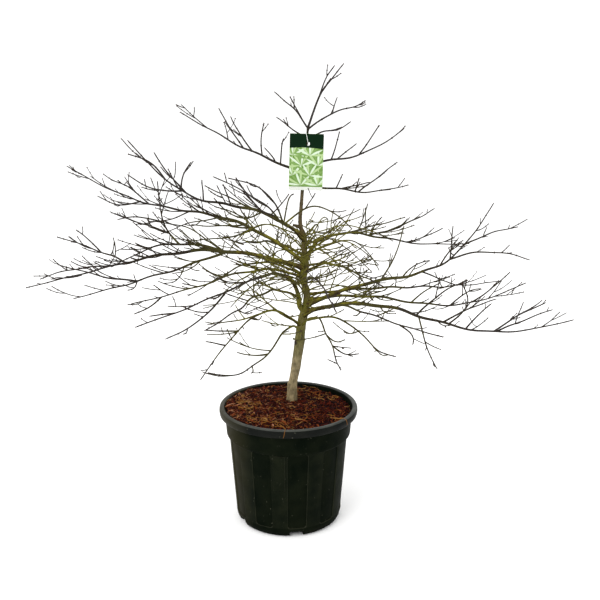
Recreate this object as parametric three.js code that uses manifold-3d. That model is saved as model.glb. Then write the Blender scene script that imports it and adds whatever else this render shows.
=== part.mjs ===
// A bare laceleaf garden tree in a round black nursery pot: pot, soil, trunk, boughs,
// masses of twigs, and a picture label on a tie. Millimetres, +Z up, front towards -Y.
// The origin is the centre of the pot's flat underside.

import * as THREE from 'three';
import { mergeVertices } from 'three/addons/utils/BufferGeometryUtils.js';
import Module from 'manifold-3d';

const wasm = await Module();
wasm.setup();

// ---------- driving dimensions ----------

const GAP = 0.3; // between solids that rest against each other
const TURNS = 40; // faces round the pot and the soil

const POT = {
  height: 309,
  rimRadius: 180,
  rimHeight: 22,
  collarRadius: 165,
  shoulderRadius: 161.5,
  shoulderHeight: 236,
  shoulderStep: 4,
  wallTopRadius: 155,
  footRadius: 128,
  footRound: 9,
  footRise: 12,
  wall: 3.2,
  floor: 3.5,
  mouthRadius: 166,
  edge: 3,
};

// Angles are in degrees round the pot from its front; the holder is a raised tab on a strip.
const PANELS = { count: 10, firstStrip: -8.5, strip: 16, bottom: 25, top: 232, depth: 1.7 };
const HOLDER = { bottom: 134, top: 230, width: 30, thickness: 2.2, root: 1.5 };
const NOTCHES = { count: 5, first: 9.5, width: 36, height: 11, innerRadius: 112, outerRadius: 150 };

const SOIL = {
  top: 300,
  flatRadius: 78,
  midRadius: 130,
  midDrop: 0.5,
  edgeRadius: 161,
  edgeDrop: 3,
};

// Trunk rows from just under its flat foot up: height, lean to the right, radius.
const TRUNK_SETBACK = 40;
const TRUNK_ROWS = [
  [285, 8.5, 15.5],
  [300, 8.8, 13.8],
  [326, 9, 13.3],
  [348, 10.2, 12.4],
  [366, 13.4, 11.8],
  [395, 18.8, 12.4],
  [441, 25.4, 13.0],
  [468, 28.8, 13.6],
  [495, 31.4, 12.2],
  [531, 37, 11.2],
  [573, 46.5, 9.0],
  [605, 46, 9.0],
  [632, 38, 9.4],
  [668, 43, 9.6],
  [697, 41.2, 7.6],
  [736, 41, 7.0],
  [752, 38.5, 6.3],
  [767, 32, 5.5],
  [790, 30.3, 4.9],
  [824, 33.3, 4.4],
  [927, 41, 3.9],
  [985, 47, 3.0],
  [1018, 50, 2.6],
];

// The side stem that forks from the trunk and climbs beside it: its rows have the same
// sizes and how far they stand forward of the trunk.
const SIDE_ROWS = [
  [545, 39, 7.4, 0],
  [564, 29, 6.8, 7],
  [592, 26, 6.2, 11],
  [619, 18, 4.6, 15],
];

// Pruned stubs left on the trunk: height, bearing, length, radius.
const STUBS = [
  [470, 182, 18, 2.6],
  [468, 5, 15.5, 3.0],
  [768, 178, 20, 4.2],
];

// Limbs that leave the trunk: name, foot height on the trunk, bearing (0 right, 90 back),
// reach and rise of the tip, then the arch, curl and sway of its line, radius at its foot,
// and the share of its length that is a bough before its mass of twigs begins.
const LIMBS = [
  ['left_main', 662, 189, 685, -25, 60, 10, 0, 6.5, 0.26],
  ['left_green', 677, 165, 655, 225, 0, 25, -40, 5.4, 0.18],
  ['left_upper', 744, 207, 440, 250, -30, 25, -20, 5.2, 0.22],
  ['left_hub', 731, 244, 335, 192, -8, 10, -5, 4.0, 0.26],
  ['top_left', 903, 174, 305, 145, -10, 0, 0, 3.4, 0],
  ['top_right', 921, 352, 240, 90, -20, 5, -5, 3.0, 0],
  ['label_right', 869, 20, 290, -8, -15, 5, 22, 2.8, 0],
  ['leader', 1014, 347, 85, 148, 25, 5, 5, 2.6, 0],
  ['crown_right', 1009, 325, 160, 70, 10, 5, 15, 2.0, 0],
  ['crown_left', 1012, 148, 95, 84, 5, 0, -5, 2.0, 0],
  ['label_top_left', 986, 165, 75, 50, 0, 0, 0, 1.9, 0],
  ['label_top_right', 976, 25, 120, 48, 5, 5, -5, 1.9, 0],
  ['right_main', 564, 10, 495, 250, -25, 25, -125, 6.0, 0.28],
  ['right_low', 546, 339, 660, 45, 5, 30, -40, 6.2, 0.25],
  ['right_mid', 579, 359, 555, 45, -25, 20, -15, 4.2, 0.25],
  ['right_back', 593, 28, 645, -35, 5, 5, -20, 3.8, 0.22],
  ['right_upper', 715, 21, 480, -22, 10, 15, 95, 4.6, 0.28],
  ['low_left', 508, 232, 370, -40, 95, 0, 15, 3.6, 0.25],
  ['low_front_left', 492, 241, 420, 15, 15, 30, 40, 2.9, 0],
  ['droop_left', 638, 210, 455, -10, 45, 10, 50, 3.6, 0.2],
  ['droop_front_left', 617, 232, 530, 15, 70, 10, 85, 3.8, 0.2],
  ['back_left_low', 644, 142, 420, -120, 55, 10, 10, 3.4, 0.25],
  ['front_left', 587, 248, 495, 50, 35, 10, -5, 3.4, 0.2],
  ['low_right', 520, 308, 345, -5, 10, 20, 40, 2.8, 0],
  ['low_front_right', 507, 283, 380, 10, 40, 20, 15, 2.5, 0],
  ['right_droop', 533, 307, 490, 65, 45, 10, -30, 3.4, 0.25],
  ['back_right', 665, 61, 445, -120, 20, 5, 15, 3.6, 0.22],
  ['back_left', 693, 120, 470, -30, 15, 10, 10, 3.6, 0.22],
  ['back_mid', 706, 79, 490, -55, 5, 0, 30, 3.4, 0.22],
  ['front_mid', 623, 277, 505, 60, 40, -5, -10, 3.4, 0.22],
  ['front_right', 652, 296, 380, 45, 30, 5, 0, 3.0, 0.25],
];

// The limbs that leave the side stem in place of the trunk, and the one that climbs a way up
// along the trunk, with the height that its foot is below where it would leave.
const ON_SIDE_STEM = ['droop_front_left', 'front_left'];
const CLIMBS = { right_upper: 45 };
const CLIMB = { share: 0.12, thicken: 0.02, step: 28 };

// Main shoots inside the masses: name, what it grows on, place along that (0 foot, 1 tip),
// bearing, reach, rise, arch, sway, radius at its foot.
const SHOOTS = [
  ['left_hump', 'left_main', 0.29, 182, 285, -35, 40, 10, 3.6],
  ['left_riser', 'left_hump', 0.4, 130, 95, 145, -20, 15, 2.5],
  ['left_riser_a', 'left_riser', 0.3, 157, 165, 40, 0, 0, 1.9],
  ['left_riser_b', 'left_riser', 0.48, 200, 110, 15, 10, 0, 1.8],
  ['left_rise', 'left_main', 0.65, 164, 185, 55, -10, -40, 2.2],
  ['left_rise_tip', 'left_rise', 0.48, 159, 75, 55, 5, 0, 1.7],
  ['left_main_tip', 'left_main', 0.71, 175, 175, -35, 10, 5, 1.8],
  ['left_front', 'left_main', 0.29, 201, 375, -85, -5, 0, 3.2],
  ['left_front_rise', 'left_front', 0.6, 203, 180, 55, 0, 30, 2.2],
  ['green_a', 'left_green', 0.67, 211, 100, 70, 10, -5, 1.9],
  ['green_b', 'left_green', 0.71, 206, 110, 20, -15, -5, 1.9],
  ['green_c', 'left_green', 0.26, 204, 140, 10, -5, -5, 2.0],
  ['green_d', 'left_green', 0.21, 154, 120, 55, 5, -25, 1.8],
  ['upper_a', 'left_upper', 0.81, 216, 85, 60, 10, 15, 1.9],
  ['upper_b', 'left_upper', 0.69, 213, 75, 95, 5, -25, 1.8],
  ['upper_c', 'left_upper', 0.71, 178, 125, 35, -15, 0, 1.9],
  ['upper_d', 'left_upper', 0.72, 310, 45, 65, 5, -5, 1.7],
  ['upper_e', 'left_upper', 0.59, 271, 25, 50, 0, 0, 1.7],
  ['upper_f', 'left_upper', 0.29, 154, 140, 50, -5, -10, 2.0],
  ['upper_g', 'left_upper', 0.43, 234, 25, 50, 0, 0, 1.7],
  ['upper_h', 'left_upper', 0.25, 209, 125, 40, -30, -5, 1.8],
  ['hub_a', 'left_hub', 0.32, 211, 140, 115, 25, 45, 1.9],
  ['hub_b', 'left_hub', 0.36, 211, 170, 115, 5, 55, 1.8],
  ['hub_c', 'left_hub', 0.31, 305, 40, 75, 20, 0, 1.6],
  ['hub_arch', 'left_hub', 0.3, 332, 175, 5, 45, 5, 2.0],
  ['top_left_a', 'top_left', 0.49, 213, 65, 95, 0, -5, 1.7],
  ['top_left_b', 'top_left', 0.42, 141, 70, 80, 5, 10, 1.8],
  ['top_left_c', 'top_left', 0.34, 281, 40, 85, 0, -5, 1.6],
  ['top_left_d', 'top_left', 0.19, 68, 25, 60, 20, 0, 1.6],
  ['top_left_e', 'top_left', 0.23, 216, 30, 35, 0, 5, 1.6],
  ['top_right_a', 'top_right', 0.28, 340, 20, 65, -5, 0, 1.6],
  ['top_right_b', 'top_right', 0.56, 330, 55, 75, -5, -5, 1.6],
  ['top_right_c', 'top_right', 0.34, 5, 45, 35, 0, 0, 1.5],
  ['label_right_a', 'label_right', 0.34, 316, 20, 35, 0, 0, 1.6],
  ['label_right_b', 'label_right', 0.39, 35, 90, 10, 0, 0, 1.7],
  ['label_right_c', 'label_right', 0.52, 301, 20, 40, 0, 0, 1.7],
  ['label_right_d', 'label_right', 0.55, 27, 115, 70, 0, 0, 1.8],
  ['leader_b', 'leader', 0.26, 313, 55, 80, 10, 0, 1.5],
  ['crown_left_b', 'crown_left', 0.2, 200, 30, 52, 0, 0, 1.5],
  ['right_out', 'right_main', 0.7, 351, 190, 5, 20, 0, 2.2],
  ['right_rear', 'right_main', 0.79, 23, 160, 35, 5, 5, 1.9],
  ['right_main_a', 'right_main', 0.64, 32, 70, 55, 10, 0, 1.7],
  ['right_main_b', 'right_main', 0.7, 74, 35, 75, -5, 0, 1.7],
  ['right_main_c', 'right_main', 0.34, 46, 85, 120, -10, -5, 1.9],
  ['right_main_d', 'right_main', 0.44, 26, 75, 35, 5, 10, 1.7],
  ['right_main_e', 'right_main', 0.54, 24, 105, -45, 0, 0, 1.8],
  ['low_tip_a', 'right_low', 0.74, 326, 115, 85, 5, 0, 1.9],
  ['low_tip_b', 'right_low', 0.75, 18, 145, 40, 5, -5, 1.8],
  ['low_rise_a', 'right_low', 0.56, 25, 150, 40, 5, 0, 2.1],
  ['low_rise_b', 'right_low', 0.64, 323, 60, 70, 5, 5, 1.8],
  ['low_rise_c', 'right_low', 0.58, 289, 55, 110, -5, 30, 1.8],
  ['low_rise_d', 'right_low', 0.46, 20, 135, 75, 10, 5, 2.2],
  ['low_hang', 'right_low', 0.47, 303, 70, -110, -15, 0, 1.8],
  ['mid_a', 'right_mid', 0.66, 25, 90, 35, 10, 0, 1.8],
  ['mid_b', 'right_mid', 0.48, 331, 75, 60, 5, 0, 1.8],
  ['mid_c', 'right_mid', 0.76, 332, 90, 85, -5, 0, 1.8],
  ['upper_fan_a', 'right_upper', 0.46, 23, 205, 60, -10, -5, 2.2],
  ['upper_fan_b', 'right_upper', 0.45, 258, 30, 75, -10, 0, 1.7],
  ['upper_fan_c', 'right_upper', 0.39, 306, 40, 80, -5, 0, 1.7],
  ['upper_fan_d', 'right_upper', 0.69, 334, 100, 45, -5, 0, 1.8],
  ['upper_fan_e', 'right_upper', 0.47, 40, 45, 45, 5, 0, 1.8],
  ['upper_fan_f', 'right_upper', 0.34, 336, 150, 50, 0, 0, 1.8],
  ['low_left_a', 'low_left', 0.7, 187, 75, 5, 0, 0, 1.8],
  ['low_left_b', 'low_left', 0.8, 206, 45, 15, 0, 0, 1.7],
  ['low_left_c', 'low_left', 0.47, 161, 140, -40, -5, 0, 1.9],
  ['low_front_a', 'low_front_left', 0.55, 207, 75, 15, -5, 0, 1.7],
  ['droop_left_a', 'droop_left', 0.86, 212, 65, -30, -5, 0, 1.7],
  ['droop_front_a', 'droop_front_left', 0.86, 165, 55, -10, 0, 0, 1.7],
  ['droop_front_b', 'droop_front_left', 0.64, 215, 145, -80, -10, 10, 2.0],
  ['low_front_right_a', 'low_front_right', 0.55, 330, 45, -5, -10, 0, 1.6],
  ['low_front_right_b', 'low_front_right', 0.67, 331, 65, -10, -10, 0, 1.6],
  ['right_droop_a', 'right_droop', 0.77, 314, 40, -35, -5, 20, 1.7],
];

const LIMB_TIP = 1.0;
const LIMB_TAPER = 1.4;
const RIPPLE = { size: 2.2, sideWave: 150, riseWave: 115, phase: 1.7 };
const STEP = { trunk: 23, limb: 42, shoot: 54, twig: 48 };
const SIDES = { trunk: 8, bough: 6, stem: 4, twig: 3 };

// The rule of the twigs: side twigs leave a stem left and right in turn, shorter towards its
// tip, and carry a second order of twigs of their own. Pairs are the least and the most.
const TWIG = {
  from: 0.12,
  bareTip: 8,
  spacing: 69,
  firstStep: [0.3, 0.7],
  step: [0.7, 1.3],
  length: 112,
  fullLimb: 260,
  size: [0.5, 1.3],
  shorten: 0.45,
  turn: [34, 64],
  lift: [1.5, 31.5],
  follow: 0.5,
  sag: 0.1,
  sway: 0.08,
  radius: 1.35,
  slimmer: 0.85,
  tip: 0.8,
  shortest: 26,
};
const SECOND_ORDER = { from: 0.3, spacing: 44, share: 0.5, longEnough: 78 };
const FIRST_SEED = 20;
const SEED_STEP = 137;

// How twigs keep clear of other wood: the room between them, how often a line is felt for it,
// the share of a twig by its foot that isn't, and the margin of a mass's own space.
const CLEARANCE = 2.2;
const PROBE_STEP = 7;
const UNFELT_FOOT = 0.12;
const SPACE_MARGIN = { side: 14, height: 34 };
const LOWEST_TWIG = 336;

const LABEL = { width: 83, height: 137, thickness: 0.8, y: 19, tilt: 1.5 };
const LABEL_PLACE = { x: 45.2, z: 931.7 };
const SLOT = { width: 9, height: 10, fromTop: 24, right: 3 };
const TIE = { across: 5.2, deep: 18, rise: 26, y: 34, z: 989.8, radius: 1.0 };

// ---------- small helpers ----------

const radians = THREE.MathUtils.degToRad;
const degrees = THREE.MathUtils.radToDeg;
const vector = (x, y, z) => new THREE.Vector3(x, y, z);
const between = (random, [least, most]) => least + (most - least) * random();

/** A seeded series of numbers from 0 to 1. */
function seeded(seed) {
  let state = seed;
  return () => {
    state = (state * 16807) % 2147483647;
    return state / 2147483647;
  };
}

/** A closed geometry as a solid that can be joined and cut. */
function solid(geometry) {
  const bare = geometry.index ? geometry.clone() : mergeVertices(geometry);
  bare.deleteAttribute('normal');
  bare.deleteAttribute('uv');
  const welded = mergeVertices(bare, 1e-4);
  const index = welded.index.array;
  const triangles = [];
  for (let i = 0; i < index.length; i += 3) {
    const [a, b, c] = [index[i], index[i + 1], index[i + 2]];
    if (a !== b && b !== c && c !== a) triangles.push(a, b, c);
  }
  const vertProperties = new Float32Array(welded.attributes.position.array);
  const triVerts = new Uint32Array(triangles);
  return new wasm.Manifold(new wasm.Mesh({ numProp: 3, vertProperties, triVerts }));
}

/** A solid's faces as a three.js geometry. */
function geometryOf(body) {
  const mesh = body.getMesh();
  const geometry = new THREE.BufferGeometry();
  geometry.setAttribute('position', new THREE.BufferAttribute(mesh.vertProperties, 3));
  geometry.setIndex(new THREE.BufferAttribute(mesh.triVerts, 1));
  geometry.computeVertexNormals();
  return geometry;
}

function fuse(bodies) {
  return bodies.reduce((whole, body) => whole.add(body));
}

/** Moves every vertex of a geometry to where a function of its old place says. */
function bend(geometry, place) {
  const at = geometry.attributes.position;
  for (let i = 0; i < at.count; i += 1) {
    const moved = place(at.getX(i), at.getY(i), at.getZ(i));
    at.setXYZ(i, moved.x, moved.y, moved.z);
  }
  return geometry;
}

/** A tapered tube along a line from share `from` to share `to`, flat or pointed at its end. */
function tube(line, { from = 0, to = 1, sides, pointed = false, extra = 0 }) {
  const knots = Array.from({ length: line.knots }, (_, i) => i / line.knots);
  const near = 0.2 / line.knots;
  const rings = [from, ...knots.filter((t) => t > from + near && t < to - near), to];
  const segments = rings.length - 1;
  const drum = new THREE.CylinderGeometry(pointed ? 0 : 1, 1, 1, sides, segments);
  return solid(bend(drum, (x, y, z) => {
    const t = rings[Math.round((y + 0.5) * segments)];
    const ahead = tangent(line, t);
    const across = vector().crossVectors(line.reference, ahead).normalize();
    const over = vector().crossVectors(across, ahead);
    const ring = Math.hypot(x, z);
    const scale = ring > 1e-6 ? (line.radius(t) + extra) / ring : 0;
    return chainPoint(line, t).addScaledVector(across, x * scale).addScaledVector(over, z * scale);
  }));
}

function tangent(line, t) {
  const step = 0.004;
  return line.point(t + step).sub(line.point(t - step)).normalize();
}

/** A point on the chain of straight pieces between a line's knots, which its tube follows. */
function chainPoint(line, t) {
  const knot = Math.min(Math.floor(t * line.knots + 1e-9), line.knots - 1);
  const share = t * line.knots - knot;
  const start = line.point(knot / line.knots);
  return share < 1e-9 ? start : start.lerp(line.point((knot + 1) / line.knots), share);
}

// ---------- lines of the trunk, limbs and twigs ----------

/** A row of sizes between given rows, by a smooth curve through them. */
function rowAt(rows, share) {
  const place = share * (rows.length - 1);
  const i = Math.min(Math.max(Math.floor(place), 0), rows.length - 2);
  const t = place - i;
  const before = rows[Math.max(i - 1, 0)];
  const after = rows[Math.min(i + 2, rows.length - 1)];
  return rows[i].map((p, k) => {
    const q = rows[i + 1][k];
    const [m, n] = [(q - before[k]) / 2, (after[k] - p) / 2];
    return p + m * t + (3 * (q - p) - 2 * m - n) * t * t + (2 * (p - q) + m + n) * t * t * t;
  });
}

/** The line of an upright stem through rows of height, lean, radius and stand to the front. */
function stemLine(rows) {
  const length = rows.at(-1)[0] - rows[0][0];
  return {
    reference: vector(1, 0, 0),
    length,
    knots: Math.round(length / STEP.trunk),
    point: (t) => {
      const [height, lean, , forward = 0] = rowAt(rows, t);
      return vector(lean, TRUNK_SETBACK - forward, height);
    },
    radius: (t) => rowAt(rows, t)[2],
  };
}

const trunkLine = stemLine(TRUNK_ROWS);
const sideLine = stemLine(SIDE_ROWS);

/** The share of an upright stem's line at a height. */
function shareAt(stem, height) {
  let [low, high] = [0, 1];
  for (let i = 0; i < 30; i += 1) {
    const middle = (low + high) / 2;
    if (stem.point(middle).z < height) low = middle;
    else high = middle;
  }
  return low;
}

/** The line of a limb: straight to its tip, with an arch, a curl and a sway laid over that. */
function limbLine(size) {
  const { foot, bearing, reach, rise, arch = 0, curl = 0, sway = 0, ripple = 0, phase = 0 } = size;
  const { climb = 0 } = size;
  const atFoot = (t) => Math.max(1 - t / CLIMB.share, 0) ** 2;
  const out = vector(Math.cos(radians(bearing)), Math.sin(radians(bearing)), 0);
  const side = vector(-out.y, out.x, 0);
  const length = Math.hypot(reach, rise);
  const steep = Math.abs(rise) > 1.5 * reach;
  return {
    ...size,
    length,
    knots: Math.max(Math.round(length / size.step), 2),
    reference: steep ? side : vector(0, 0, 1),
    point: (t) => {
      const hump = Math.sin(Math.PI * t);
      const wave = ripple * hump;
      const up = rise * t + arch * hump + curl * Math.sin(2 * Math.PI * t) - climb * atFoot(t)
        + wave * Math.sin((2 * Math.PI * t * length) / RIPPLE.riseWave + 2 * phase);
      const across = sway * hump
        + wave * Math.sin((2 * Math.PI * t * length) / RIPPLE.sideWave + phase);
      return foot.clone().addScaledVector(out, reach * t).addScaledVector(side, across)
        .add(vector(0, 0, up));
    },
    radius: (t) => {
      const left = Math.max(1 - t, 0);
      const thicker = CLIMB.thicken * climb * atFoot(t);
      return size.tip + (size.girth - size.tip) * left ** LIMB_TAPER + thicker;
    },
  };
}

/** The limbs and shoots by name, each knowing the mass that it belongs to. */
function layLimbs() {
  const limbs = new Map();
  for (const row of LIMBS) {
    const [name, height, bearing, reach, rise, arch, curl, sway, girth, wood] = row;
    const stem = ON_SIDE_STEM.includes(name) ? sideLine : trunkLine;
    const foot = stem.point(shareAt(stem, height));
    const phase = RIPPLE.phase * limbs.size;
    const climb = CLIMBS[name] ?? 0;
    const step = climb > 0 ? CLIMB.step : STEP.limb;
    const shape = { bearing, reach, rise, arch, curl, sway, climb, ripple: RIPPLE.size, phase };
    const line = limbLine({ foot, ...shape, girth, tip: LIMB_TIP, step });
    limbs.set(name, { ...line, name, mass: name, wood });
  }
  for (const [name, on, at, bearing, reach, rise, arch, sway, girth] of SHOOTS) {
    const parent = limbs.get(on);
    const phase = RIPPLE.phase * limbs.size;
    const ripple = RIPPLE.size * Math.min(reach / 200, 1);
    const shape = { bearing, reach, rise, arch, sway, ripple, phase };
    const foot = chainPoint(parent, at);
    const line = limbLine({ foot, ...shape, girth, tip: LIMB_TIP, step: STEP.shoot });
    limbs.set(name, { ...line, name, mass: parent.mass, wood: 0 });
  }
  return limbs;
}

// ---------- the rule of the twigs ----------

/** Points along a line, close enough together to feel for other wood. */
function probes(line, from, to) {
  const count = Math.max(Math.ceil((line.length * (to - from)) / PROBE_STEP), 2);
  return Array.from({ length: count + 1 }, (_, i) => {
    const t = from + ((to - from) * i) / count;
    return { at: line.point(t), radius: line.radius(t) };
  });
}

/** Whether a line comes too close to wood of another owner. */
function touches(points, owner, taken) {
  return points.some(({ at, radius }) => taken.some((other) => {
    const room = radius + other.radius + CLEARANCE;
    return other.owner !== owner && other.at.distanceToSquared(at) < room * room;
  }));
}

/** Side twigs along a stem, by the seeded rule. */
function sprout(stem, random, { from, spacing, length }) {
  const twigs = [];
  let side = random() < 0.5 ? -1 : 1;
  let along = from * stem.length + spacing * between(random, TWIG.firstStep);
  while (along < stem.length - TWIG.bareTip) {
    const t = along / stem.length;
    const ahead = tangent(stem, t);
    const slope = degrees(Math.asin(ahead.z));
    const heading = degrees(Math.atan2(ahead.y, ahead.x));
    const turn = between(random, TWIG.turn);
    const lift = TWIG.follow * slope + between(random, TWIG.lift);
    const long = length * (1 - TWIG.shorten * t) * between(random, TWIG.size);
    const bow = random();
    const shape = {
      foot: chainPoint(stem, t),
      bearing: heading + side * turn,
      reach: long * Math.cos(radians(lift)),
      rise: long * Math.sin(radians(lift)),
      arch: -long * TWIG.sag * bow,
      sway: side * long * TWIG.sway * (bow - 0.3),
      girth: Math.min(TWIG.radius, TWIG.slimmer * stem.radius(t)),
      tip: TWIG.tip,
      step: STEP.twig,
    };
    if (long > TWIG.shortest) twigs.push(limbLine(shape));
    side = -side;
    along += spacing * between(random, TWIG.step);
  }
  return twigs;
}

/** The room that a mass keeps to: the box of its own limbs and a margin. */
function spaceOf(limbs) {
  const space = new THREE.Box3();
  for (const limb of limbs) {
    for (const { at } of probes(limb, limb.wood, 1)) space.expandByPoint(at);
  }
  const { side, height } = SPACE_MARGIN;
  space.expandByVector(vector(side, side, height));
  space.min.z = Math.max(space.min.z, LOWEST_TWIG);
  return space;
}

/** All twigs of one mass, leaving out what would touch other wood or leave the mass's room. */
function growMass(limbs, random, taken) {
  const space = spaceOf(limbs);
  const owner = limbs[0].mass;
  const kept = [];
  const keep = (twig) => {
    const points = probes(twig, UNFELT_FOOT, 1);
    const inside = points.every(({ at }) => space.containsPoint(at));
    if (!inside || touches(points, owner, taken)) return false;
    points.forEach((point) => taken.push({ ...point, owner }));
    kept.push(twig);
    return true;
  };
  for (const limb of limbs) {
    const length = TWIG.length * Math.min(limb.length / TWIG.fullLimb, 1);
    const from = Math.max(limb.wood, TWIG.from);
    for (const twig of sprout(limb, random, { from, spacing: TWIG.spacing, length })) {
      const next = { ...SECOND_ORDER, length: twig.length * SECOND_ORDER.share };
      const children = twig.length > SECOND_ORDER.longEnough ? sprout(twig, random, next) : [];
      if (keep(twig)) children.forEach(keep);
    }
  }
  return kept;
}

// ---------- solids of the tree ----------

const limbs = layLimbs();

/** The trunk and its side stem, or the room round them that other wood keeps out of. */
function stemsSolid(extra) {
  const sides = SIDES.trunk;
  const main = tube(trunkLine, { to: 1 + extra / trunkLine.length, sides, extra });
  return main.add(tube(sideLine, { to: 1 + extra / sideLine.length, sides, extra }));
}

const trunkRoom = stemsSolid(GAP);

/** The trunk with its side stem and pruned stubs, cut flat just above the soil. */
function trunkSolid() {
  const stubs = STUBS.map(([height, bearing, length, girth]) => {
    const foot = trunkLine.point(shareAt(trunkLine, height));
    const size = { foot, bearing, reach: length, rise: 0.25 * length, girth, tip: 0.7 * girth };
    return tube(limbLine({ ...size, step: length }), { sides: SIDES.bough });
  });
  const deep = SOIL.top + GAP;
  const below = new THREE.BoxGeometry(deep, deep, deep);
  below.translate(0, TRUNK_SETBACK, deep / 2);
  return fuse([stemsSolid(0), ...stubs]).subtract(solid(below));
}

function boughSolid(limb) {
  return tube(limb, { to: limb.wood, sides: SIDES.bough }).subtract(trunkRoom);
}

function stemSolid(limb) {
  const from = limb.wood > 0 ? limb.wood + GAP / limb.length : 0;
  const stem = tube(limb, { from, sides: SIDES.stem, pointed: true });
  return limb.wood === 0 ? stem.subtract(trunkRoom) : stem;
}

function shootSolid(limb) {
  return tube(limb, { sides: SIDES.stem, pointed: true });
}

function twigSolid(twig) {
  return tube(twig, { sides: SIDES.twig, pointed: true });
}

function massSolid(members, twigs) {
  const [stem, ...shoots] = members;
  const parts = [stemSolid(stem), ...shoots.map(shootSolid), ...twigs.map(twigSolid)];
  return fuse(parts);
}

// ---------- pot, soil and label ----------

/** A turned solid from a profile of [radius, height] pairs, standing on +Z. */
function turned(profile) {
  const points = profile.map(([radius, height]) => new THREE.Vector2(radius, height));
  return solid(new THREE.LatheGeometry(points, TURNS).rotateX(Math.PI / 2));
}

/** A block bent round the pot's axis, between two radii that may change with height. */
function wedge({ middle, width, bottom, top, inner, outer }) {
  const block = new THREE.BoxGeometry(1, 1, 1, 3, 1, 1);
  return solid(bend(block, (x, y, z) => {
    const angle = radians(middle - 90 + width * x);
    const height = bottom + (top - bottom) * (y + 0.5);
    const radius = z > 0 ? outer(height) : inner(height);
    return vector(radius * Math.cos(angle), radius * Math.sin(angle), height);
  }));
}

/** The radius of the pot's outer wall below its shoulder. */
function wallRadius(height) {
  const lowest = POT.footRadius + POT.footRound;
  return lowest + ((POT.wallTopRadius - lowest) * height) / POT.shoulderHeight;
}

/** The inside of the pot from under its rim down to the middle of its floor, or a gap off it. */
function innerProfile(gap) {
  const inset = POT.wall + gap;
  const bottom = POT.floor + gap;
  const [below, above] = [POT.shoulderHeight - 2 * POT.shoulderStep, POT.shoulderHeight + POT.shoulderStep];
  return [
    [POT.shoulderRadius - inset, POT.height - POT.rimHeight - 2 * POT.edge],
    [POT.shoulderRadius - inset, above],
    [wallRadius(below) - inset, below],
    [wallRadius(bottom) - inset, bottom],
    [0, bottom],
  ];
}

function potSolid() {
  const rimBottom = POT.height - POT.rimHeight;
  const belowStep = POT.shoulderHeight - POT.shoulderStep;
  const profile = [
    [0, 0],
    [POT.footRadius, 0],
    [wallRadius(POT.footRise), POT.footRise],
    [wallRadius(belowStep), belowStep],
    [POT.shoulderRadius, POT.shoulderHeight],
    [POT.collarRadius, rimBottom],
    [POT.rimRadius - 2, rimBottom + 1],
    [POT.rimRadius, rimBottom + POT.rimHeight / 2],
    [POT.rimRadius - 1, POT.height - POT.edge],
    [POT.rimRadius - 1 - POT.edge, POT.height],
    [POT.mouthRadius + POT.edge, POT.height],
    [POT.mouthRadius, POT.height - POT.edge],
    ...innerProfile(0),
  ];
  let pot = turned(profile);
  const pitch = 360 / PANELS.count;
  for (let i = 0; i < PANELS.count; i += 1) {
    pot = pot.subtract(wedge({
      middle: PANELS.firstStrip + pitch * (i + 0.5),
      width: pitch - PANELS.strip,
      bottom: PANELS.bottom,
      top: PANELS.top,
      inner: (height) => wallRadius(height) - PANELS.depth,
      outer: (height) => wallRadius(height) + PANELS.depth,
    }));
  }
  for (let i = 0; i < NOTCHES.count; i += 1) {
    const { innerRadius, outerRadius, width, height } = NOTCHES;
    const notch = new THREE.BoxGeometry(width, outerRadius - innerRadius, 2 * height);
    notch.translate(0, -(innerRadius + outerRadius) / 2, 0);
    notch.rotateZ(radians(NOTCHES.first + (360 / NOTCHES.count) * i));
    pot = pot.subtract(solid(notch));
  }
  return pot.add(wedge({
    middle: PANELS.firstStrip,
    width: degrees(HOLDER.width / POT.wallTopRadius),
    bottom: HOLDER.bottom,
    top: HOLDER.top,
    inner: (height) => wallRadius(height) - HOLDER.root,
    outer: (height) => wallRadius(height) + HOLDER.thickness,
  }));
}

/** The bark compost, which fills the pot up to a slightly domed top. */
function soilSolid() {
  return turned([
    ...innerProfile(GAP).reverse(),
    [SOIL.edgeRadius, SOIL.top - SOIL.edgeDrop],
    [SOIL.midRadius, SOIL.top - SOIL.midDrop],
    [SOIL.flatRadius, SOIL.top],
    [0, SOIL.top],
  ]);
}

function labelSolid() {
  const card = new THREE.BoxGeometry(LABEL.width, LABEL.thickness, LABEL.height);
  const slot = new THREE.BoxGeometry(SLOT.width, 4, SLOT.height);
  slot.translate(SLOT.right, 0, LABEL.height / 2 - SLOT.fromTop);
  return solid(card).subtract(solid(slot));
}

/** The tie: a loop round the leader that passes over the label's edge and through its slot. */
function tieSolid() {
  const ring = new THREE.TorusGeometry(1, 0.5, 4, 18);
  const middle = trunkLine.point(shareAt(trunkLine, TIE.z));
  return solid(bend(ring, (x, y, z) => {
    const turn = Math.atan2(x, -y);
    const thick = (Math.hypot(x, y) - 1) / 0.5;
    const flat = z / 0.5;
    const away = vector(Math.sin(turn), -Math.cos(turn), 0);
    return vector(middle.x, TIE.y, TIE.z)
      .add(vector(TIE.across * Math.sin(turn), -TIE.deep * Math.cos(turn), -TIE.rise * Math.sin(turn)))
      .addScaledVector(away, thick * TIE.radius)
      .add(vector(0, 0, flat * TIE.radius));
  }));
}

// ---------- materials ----------

function paint(color, roughness) {
  return new THREE.MeshStandardMaterial({ color, roughness, metalness: 0 });
}

const potPlastic = paint(0x1d211d, 0.55);
const barkMulch = paint(0x57301f, 0.95);
const paleBark = paint(0x8f8464, 0.85);
const oliveBark = paint(0x5d5a2a, 0.85);
const twigBark = paint(0x45403a, 0.8);
const labelCard = paint(0x8fb56a, 0.4);
const tiePlastic = paint(0xe8e8e4, 0.45);

// ---------- assembly ----------

const plant = new THREE.Group();

function place(name, body, material) {
  const mesh = new THREE.Mesh(geometryOf(body), material);
  mesh.name = name;
  plant.add(mesh);
  return mesh;
}

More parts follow.
